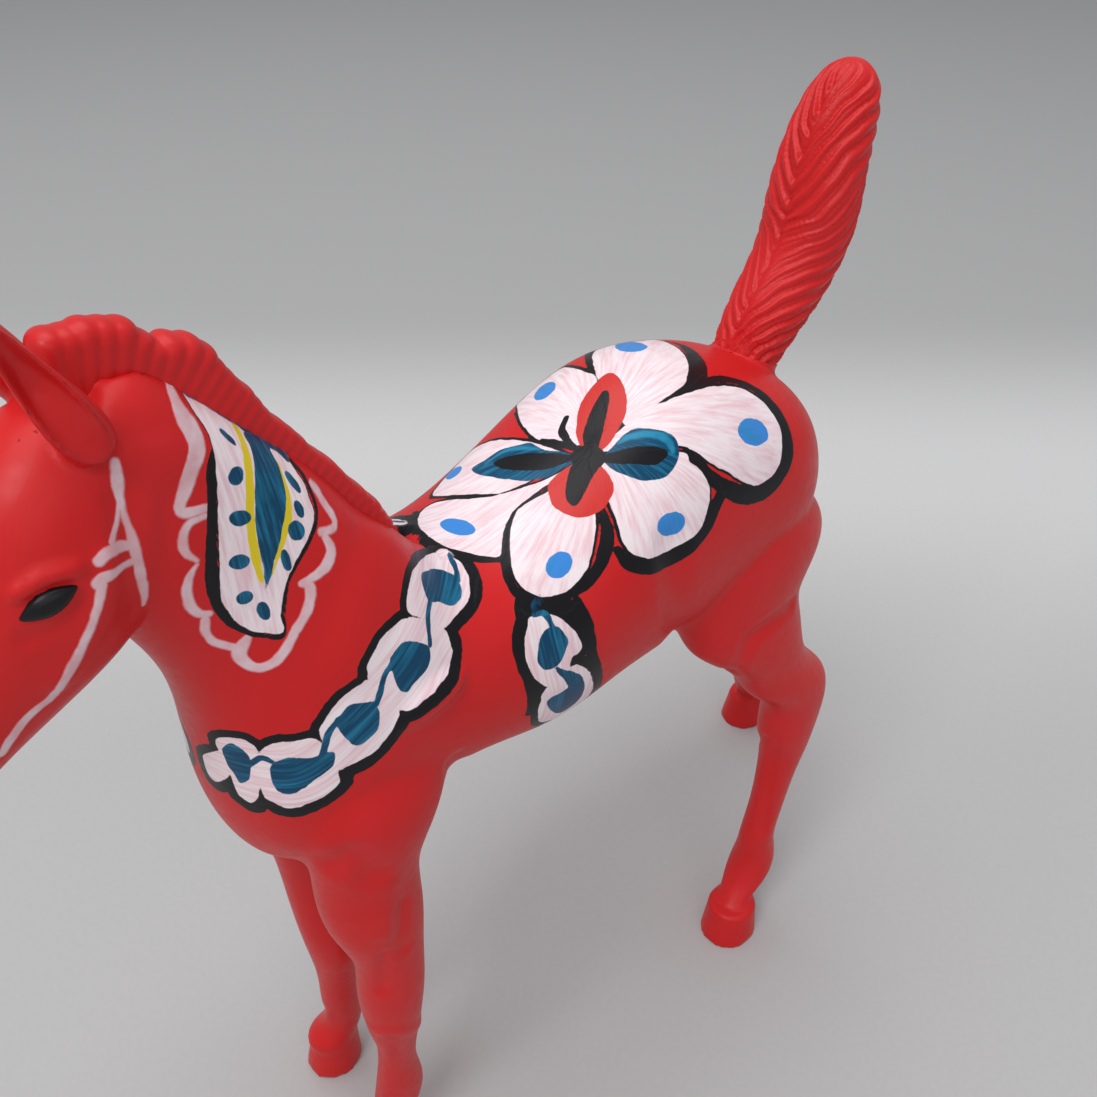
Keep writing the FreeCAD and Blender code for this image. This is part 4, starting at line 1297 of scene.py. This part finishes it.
class FoalPaint(bpy.types.PropertyGroup):
    """Colours of the sprayed coat and of the ornament"""
    coat: paint_colour("Coat", "Sprayed red", (0.61, 0.013, 0.014))
    coat_thin: paint_colour("Thin coat", "Red where the spray is thin", (0.64, 0.022, 0.026))
    ink: paint_colour("Black", "Brushed outlines and eyes", (0.007, 0.007, 0.009))
    # The thin black is a painted sheen: the lighter patches on the eyes.
    ink_painted_sheen: paint_colour("Thin black", "Eyes where the black is thin", (0.012, 0.011, 0.012))
    white: paint_colour("White", "Petals, lobes and leaf", (0.93, 0.84, 0.87))
    white_thin: paint_colour("Thin white", "White where red shows through", (0.82, 0.50, 0.56))
    yellow: paint_colour("Yellow", "Edges of the leaf's middle", (0.78, 0.60, 0.02))
    crimson: paint_colour("Crimson", "Inner petals", (0.62, 0.035, 0.03))
    teal: paint_colour("Teal", "Beads and inner petals", (0.003, 0.055, 0.125))
    teal_light: paint_colour("Light teal", "Brushed lights on the teal", (0.02, 0.26, 0.44))
    blue: paint_colour("Blue", "Dots on the petals", (0.05, 0.25, 0.72))
    pale: paint_colour("Pale", "Bridle and scalloped line", (0.78, 0.58, 0.63))


class FoalSkin(bpy.types.PropertyGroup):
    """How the skin is made"""
    voxel: bpy.props.FloatProperty(
        name="Grain", description="Size of the skin's faces in millimetres", default=0.5, min=0.2)
    soften_steps: bpy.props.IntProperty(
        name="Softening", description="Rounds of evening out", default=14, min=0)
    blend_steps: bpy.props.IntProperty(
        name="Blending", description="Rounds that fill the creases of the limb roots", default=30, min=0)


class FoalMane(bpy.types.PropertyGroup):
    """How the mane is made"""
    pitch: bpy.props.FloatProperty(
        name="Lock pitch", description="Distance between locks", default=0.00135, min=0.0005, unit="LENGTH")
    thickness: bpy.props.FloatProperty(
        name="Thickness", description="Thickness of the mane", default=0.0046, min=0.001, unit="LENGTH")
    grain: bpy.props.FloatProperty(
        name="Grain", description="Size of the mane's faces in millimetres", default=0.2, min=0.1)


class FoalTail(bpy.types.PropertyGroup):
    """How the tail's hair is carved"""
    spacing: bpy.props.FloatProperty(
        name="Strand spacing", description="Distance between strands in millimetres", default=3.2, min=0.5)
    depth: bpy.props.FloatProperty(
        name="Strand depth", description="Depth of the grooves in millimetres", default=0.85, min=0.0)
    slope: bpy.props.FloatProperty(
        name="Strand slope", description="Rise of a strand for each step round the tail", default=0.66)
    grain: bpy.props.FloatProperty(
        name="Grain", description="Size of the tail's faces in millimetres", default=0.24, min=0.1)


# The lights by the setting of their power: width, place and what they point at, in metres.
LIGHTS = (("key", 1.0, (-0.15, -0.05, 1.30), (0.0, 0.0, 0.08)),
          ("fill", 0.8, (0.90, -0.50, 0.70), (0.0, 0.0, 0.08)),
          ("front", 0.45, (0.25, -0.75, 1.00), (0.0, -0.06, 0.12)))


class FoalStage(bpy.types.PropertyGroup):
    """Floor and light"""
    floor: paint_colour("Floor", "Colour of the floor", (0.53, 0.53, 0.53))
    room: paint_colour("Room", "Colour of the light from all round", (0.96, 0.97, 1.0))
    room_strength: bpy.props.FloatProperty(
        name="Room light", description="Strength of the light from all round", default=0.42, min=0.0)
    floor_radius: bpy.props.FloatProperty(
        name="Floor radius", description="Radius of the floor", default=4.0, min=1.0, unit="LENGTH")
    key: bpy.props.FloatProperty(
        name="Key light", description="Power of the large light above", default=8.2, min=0.0, unit="POWER")
    fill: bpy.props.FloatProperty(
        name="Fill light", description="Power of the light beside the camera", default=1.7, min=0.0,
        unit="POWER")
    front: bpy.props.FloatProperty(
        name="Front light", description="Power of the light before the head", default=4.4, min=0.0,
        unit="POWER")


class FOAL_OT_skin(bpy.types.Operator):
    """Fuse, soften and carve the skin and divide it into body, legs and ears"""
    bl_idname = "foal.skin"
    bl_label = "Body, legs and ears"

    def execute(self, context):
        mesh = skin_mesh(context.scene.foal_skin)
        sink_mane(mesh, crest_line())
        drawings = ornament(mesh_tree(mesh))
        for name, (part, skin_faces) in divide(mesh, drawings).items():
            shell = name.startswith("body")
            material = decorated_material() if shell else red_material()
            piece = new_piece(name.replace("body_shell", "body"), part, material, name)
            keep_skin_normals(part, skin_faces)
            if shell:
                paint_ornament(piece, drawings)
        bpy.data.meshes.remove(mesh)
        return {"FINISHED"}


def tail_line(points, count=16):
    """The tail's middle line from the dock to the tip, through the middles of its slices."""
    low, high = points[:, 2].min(), points[:, 2].max()
    levels = np.linspace(low, high, count + 1)
    middles = []
    for bottom, top in zip(levels[:-1], levels[1:]):
        slab = points[(points[:, 2] >= bottom) & (points[:, 2] <= top)]
        middles.append((MEDIAN, slab[:, 1].mean(), (bottom + top) / 2))
    middles[-1] = (MEDIAN, middles[-1][1], high)
    return smooth_line(middles, steps=5)


# The hair of the tail. Waves bend the strands: each has its height, how fast it goes round the tail and along
# it, and its start.
TAIL_SOFTEN = 6         # rounds of evening out
TAIL_RADIUS = 6.3
TAIL_WAVES = ((0.8, 0.28, 0.21, 1), (0.3, 0.55, -0.33, 0), (0.10, 1.3, 0.7, 2))
DOCK_STEEPER = 1.2      # how much steeper the strands are at the dock
DOCK_REACH = 60         # where along the tail they are no steeper
RIDGE_PLACE = 0.72      # the place of a strand's ridge between its grooves
SPLIT_PLACE = 0.42      # the place of the fine line in a strand
SPLIT_SWAY = 0.2        # how far its place differs from strand to strand
SPLIT_HALF = 0.07
SPLIT_DEPTH = 0.22
GROOVE_DEPTH = 0.75     # the mean depth of a groove, as a share of the setting
GROOVE_SWAY = 0.35      # how much grooves differ
PARTING_HALF = 0.6
PARTING_DEPTH = 0.35
DOCK_SMOOTH = (1.5, 3)  # where above the dock the grooves begin, and over what length
TIP_SMOOTH = 5          # over what length they end at the tip


def hair_depth(points, settings):
    """How deep the hair of the tail is carved at each point."""
    line = tail_line(points)
    _, height = line_distance(points, line, with_place=True)
    walked = walked_along(line)
    middle = np.stack([np.interp(height, walked, line[:, axis]) for axis in range(3)], axis=1)
    offset = points - middle
    angle = np.arctan2(offset[:, 0], -offset[:, 1])
    round_way = np.abs(angle) * TAIL_RADIUS
    side = np.where(angle > 0, 1.0, -1.0)
    sway = sum(size * np.sin(round_way * across + height * up + start * side)
               for size, across, up, start in TAIL_WAVES)
    slope = settings.slope * (1 + DOCK_STEEPER * np.clip(1 - height / DOCK_REACH, 0, 1) ** 0.6)
    phase = (height - slope * round_way + sway) / settings.spacing + 0.5 * (side < 0)
    strand = np.floor(phase)
    place = phase - strand
    deep = GROOVE_DEPTH + GROOVE_SWAY * np.sin(strand * 12.9 + side * 3)
    ridge = np.clip(place / RIDGE_PLACE, 0, 1) ** 0.8 * np.clip((1 - place) / (1 - RIDGE_PLACE), 0, 1) ** 0.7
    split_place = SPLIT_PLACE + SPLIT_SWAY * np.sin(strand * 5.3)
    split = np.exp(-((place - split_place) / SPLIT_HALF) ** 2)
    parting = np.exp(-(round_way / PARTING_HALF) ** 2)
    fade = np.clip((height - DOCK_SMOOTH[0]) / DOCK_SMOOTH[1], 0, 1)
    fade *= np.clip((walked[-1] - height) / TIP_SMOOTH, 0, 1) ** 0.6
    return settings.depth * fade * (deep * (1 - ridge) + SPLIT_DEPTH * split + PARTING_DEPTH * parting)


class FOAL_OT_tail(bpy.types.Operator):
    """Carve the hair of the tail"""
    bl_idname = "foal.tail"
    bl_label = "Tail"

    def execute(self, context):
        settings = context.scene.foal_tail
        mesh = fused_mesh("tail_hair", [frame["nodes"]["tail"].data], settings.grain)
        points, edges = mesh_arrays(mesh)
        points = relaxed(points, edges, TAIL_SOFTEN)
        put_points(mesh, points)
        put_points(mesh, points - vertex_normals(mesh) * hair_depth(points, settings)[:, None])
        new_piece("tail_hair", mesh, red_material(), "tail")
        return {"FINISHED"}


# The locks of the mane: half their width against the pitch, how far their heights differ, how blunt they are,
# where 0 is square and 1 round, how much thicker the mane is at the withers, and its rounds of evening out.
LOCK_OVERLAP = 1.35
LOCK_HEIGHTS = (0.95, 1.01)
LOCK_BLUNTNESS = 0.32
LOCK_SEED = 4
WITHERS_WIDER = 1.35
MANE_SOFTEN = 4


def mane_tree(material):
    """Geometry nodes that stand one blunt lock on each step of the crest line."""
    tree = bpy.data.node_groups.new("mane_locks", "GeometryNodeTree")
    tree.interface.new_socket("Geometry", in_out="INPUT", socket_type="NodeSocketGeometry")
    for label in ("Pitch", "Thickness", "Bluntness"):
        tree.interface.new_socket(label, in_out="INPUT", socket_type="NodeSocketFloat")
    tree.interface.new_socket("Seed", in_out="INPUT", socket_type="NodeSocketInt")
    tree.interface.new_socket("Geometry", in_out="OUTPUT", socket_type="NodeSocketGeometry")
    new, link = tree.nodes.new, tree.links.new
    given, result = new("NodeGroupInput"), new("NodeGroupOutput")
    curve = new("GeometryNodeMeshToCurve")
    link(given.outputs["Geometry"], curve.inputs["Mesh"])
    steps = new("GeometryNodeResampleCurve")
    steps.mode = "LENGTH"
    link(curve.outputs["Curve"], steps.inputs["Curve"])
    link(given.outputs["Pitch"], steps.inputs["Length"])
    ball = new("GeometryNodeMeshUVSphere")
    ball.inputs["Segments"].default_value = 20
    ball.inputs["Rings"].default_value = 16
    ball.inputs["Radius"].default_value = 1.0
    place = new("GeometryNodeInputPosition")
    apart = new("ShaderNodeSeparateXYZ")
    link(place.outputs[0], apart.inputs[0])
    level = math_node(tree, "ABSOLUTE", apart.outputs[2])
    level = math_node(tree, "POWER", level, given.outputs["Bluntness"])
    level = math_node(tree, "MULTIPLY", level, math_node(tree, "SIGN", apart.outputs[2]))
    blunt = new("ShaderNodeCombineXYZ")
    link(apart.outputs[0], blunt.inputs[0])
    link(apart.outputs[1], blunt.inputs[1])
    link(level, blunt.inputs[2])
    lock = new("GeometryNodeSetPosition")
    link(ball.outputs["Mesh"], lock.inputs["Geometry"])
    link(blunt.outputs[0], lock.inputs["Position"])
    stored = {}
    for name in ("lock_height", "lock_width"):
        attribute = new("GeometryNodeInputNamedAttribute")
        attribute.data_type = "FLOAT"
        attribute.inputs["Name"].default_value = name
        stored[name] = attribute.outputs["Attribute"]
    wander = new("FunctionNodeRandomValue")
    wander.data_type = "FLOAT"
    wander.inputs[2].default_value, wander.inputs[3].default_value = LOCK_HEIGHTS
    link(given.outputs["Seed"], wander.inputs["Seed"])
    scale = new("ShaderNodeCombineXYZ")
    half = math_node(tree, "MULTIPLY", given.outputs["Thickness"], 0.5)
    link(math_node(tree, "MULTIPLY", half, stored["lock_width"]), scale.inputs[0])
    link(math_node(tree, "MULTIPLY", given.outputs["Pitch"], LOCK_OVERLAP), scale.inputs[1])
    link(math_node(tree, "MULTIPLY", stored["lock_height"], wander.outputs[1]), scale.inputs[2])
    tangent = new("GeometryNodeInputTangent")
    turn = new("FunctionNodeAxesToRotation")
    turn.primary_axis = "Y"
    turn.secondary_axis = "X"
    link(tangent.outputs[0], turn.inputs[0])
    turn.inputs[1].default_value = (1, 0, 0)
    stand = new("GeometryNodeInstanceOnPoints")
    link(steps.outputs["Curve"], stand.inputs["Points"])
    link(lock.outputs[0], stand.inputs["Instance"])
    link(turn.outputs[0], stand.inputs["Rotation"])
    link(scale.outputs[0], stand.inputs["Scale"])
    real = new("GeometryNodeRealizeInstances")
    link(stand.outputs["Instances"], real.inputs["Geometry"])
    finish = new("GeometryNodeSetMaterial")
    finish.inputs["Material"].default_value = material
    link(real.outputs["Geometry"], finish.inputs["Geometry"])
    link(finish.outputs["Geometry"], result.inputs["Geometry"])
    return tree


class FOAL_OT_mane(bpy.types.Operator):
    """Stand the locks of the mane along the crest"""
    bl_idname = "foal.mane"
    bl_label = "Mane"

    def execute(self, context):
        settings = context.scene.foal_mane
        feet, _, heights = crest_line()
        mesh = bpy.data.meshes.new("crest")
        mesh.from_pydata((feet * MM).tolist(), [(k, k + 1) for k in range(len(feet) - 1)], [])
        widths = np.linspace(WITHERS_WIDER, 1, len(feet))
        for name, values in (("lock_height", heights * MM), ("lock_width", widths)):
            mesh.attributes.new(name, "FLOAT", "POINT").data.foreach_set("value", values)
        holder = bpy.data.objects.new("crest", mesh)
        context.collection.objects.link(holder)
        tree = mane_tree(red_material())
        locks = holder.modifiers.new("locks", "NODES")
        locks.node_group = tree
        values = {"Pitch": settings.pitch, "Thickness": settings.thickness, "Bluntness": LOCK_BLUNTNESS,
                  "Seed": LOCK_SEED}
        for item in tree.interface.items_tree:
            if item.in_out == "INPUT" and item.name in values:
                locks[item.identifier] = values[item.name]
        graph = context.evaluated_depsgraph_get()
        stood = bpy.data.meshes.new_from_object(holder.evaluated_get(graph))
        bpy.data.objects.remove(holder)
        fused = fused_mesh("mane", [stood], settings.grain)
        points, edges = mesh_arrays(fused)
        put_points(fused, relaxed(points, edges, MANE_SOFTEN, swell=0))
        new_piece("mane", fused, red_material(), "mane_strip")
        return {"FINISHED"}


class FOAL_OT_eyes(bpy.types.Operator):
    """Set the glossy eyes into the head"""
    bl_idname = "foal.eyes"
    bl_label = "Eyes"

    def execute(self, context):
        tree = mesh_tree(bpy.data.objects["body_left"].data)
        middle = np.mean(EYE_CORNERS, axis=0)
        (low, high), _ = seen(tree, EYE_CORNERS)
        (centre,), (outward,) = seen(tree, [middle])
        run = (high - low) / 2
        outward -= run * (outward @ run) / (run @ run)
        outward /= np.linalg.norm(outward)
        rise = np.cross(outward, run / np.linalg.norm(run))
        rise *= EYE_HALF_HEIGHT * np.linalg.norm(centre - CAMERA_PLACE) / FOCAL_PIXELS
        for name, side in (("eye_left", 1), ("eye_right", -1)):
            made = bmesh.new()
            bmesh.ops.create_uvsphere(made, u_segments=40, v_segments=24, radius=1)
            for vert in made.verts:
                along, up, out = vert.co
                almond = 1 - EYE_TAPER * along ** 2
                place = centre + run * along + rise * up * almond + outward * (out * EYE_BULGE - EYE_SEAT)
                vert.co = Vector((place if side == 1 else mirrored(place)) * MM)
            bmesh.ops.recalc_face_normals(made, faces=made.faces)
            mesh = bpy.data.meshes.new(name)
            made.to_mesh(mesh)
            made.free()
            new_piece(name, mesh, eye_material())
        return {"FINISHED"}


class FOAL_OT_stage(bpy.types.Operator):
    """Lay the floor, hang the lights and set the camera"""
    bl_idname = "foal.stage"
    bl_label = "Floor, lights and camera"

    def execute(self, context):
        settings = context.scene.foal_stage
        made = bmesh.new()
        bmesh.ops.create_circle(made, cap_ends=True, segments=96, radius=settings.floor_radius)
        mesh = bpy.data.meshes.new("floor")
        made.to_mesh(mesh)
        made.free()
        mesh.materials.append(floor_material())
        floor = bpy.data.objects.new("floor", mesh)
        context.collection.objects.link(floor)
        world = bpy.data.worlds.new("room")
        world.use_nodes = True
        background = world.node_tree.nodes["Background"]
        background.inputs["Color"].default_value = (*settings.room, 1)
        background.inputs["Strength"].default_value = settings.room_strength
        context.scene.world = world
        for name, width, place, aim in LIGHTS:
            data = bpy.data.lights.new(name, "AREA")
            data.energy = getattr(settings, name)
            data.size = width
            lamp = bpy.data.objects.new(name, data)
            lamp.location = place
            lamp.rotation_euler = (Vector(aim) - Vector(place)).to_track_quat("-Z", "Y").to_euler()
            context.collection.objects.link(lamp)
        data = bpy.data.cameras.new("camera")
        data.sensor_width = 36.0
        data.lens = data.sensor_width * FOCAL_PIXELS / PICTURE_WIDTH
        data.clip_start = 0.01
        data.clip_end = 20.0
        camera = bpy.data.objects.new("camera", data)
        place, target = Vector(CAMERA_PLACE) * MM, Vector(CAMERA_TARGET) * MM
        camera.location = place
        camera.rotation_euler = (target - place).to_track_quat("-Z", "Y").to_euler()
        context.collection.objects.link(camera)
        context.scene.camera = camera
        context.scene.view_settings.view_transform = "Standard"
        return {"FINISHED"}


SETTINGS = {"foal_paint": FoalPaint, "foal_skin": FoalSkin, "foal_mane": FoalMane, "foal_tail": FoalTail,
            "foal_stage": FoalStage}
OPERATORS = (FOAL_OT_skin, FOAL_OT_tail, FOAL_OT_mane, FOAL_OT_eyes, FOAL_OT_stage)


class FOAL_PT_panel(bpy.types.Panel):
    """The steps that build the foal"""
    bl_label = "Foal"
    bl_idname = "FOAL_PT_panel"
    bl_space_type = "VIEW_3D"
    bl_region_type = "UI"
    bl_category = "Foal"

    def draw(self, context):
        for operator in OPERATORS:
            self.layout.operator(operator.bl_idname)


def register():
    """Adds the settings, operators and panel."""
    for kind in (*SETTINGS.values(), *OPERATORS, FOAL_PT_panel):
        bpy.utils.register_class(kind)
    for name, kind in SETTINGS.items():
        setattr(bpy.types.Scene, name, bpy.props.PointerProperty(type=kind))


def unregister():
    """Takes them away again."""
    for name in SETTINGS:
        delattr(bpy.types.Scene, name)
    for kind in (FOAL_PT_panel, *OPERATORS, *SETTINGS.values()):
        bpy.utils.unregister_class(kind)


def main():
    """Builds every piece."""
    register()
    bpy.ops.foal.skin()
    bpy.ops.foal.tail()
    bpy.ops.foal.mane()
    bpy.ops.foal.eyes()
    bpy.ops.foal.stage()


if __name__ == "__main__":
    main()
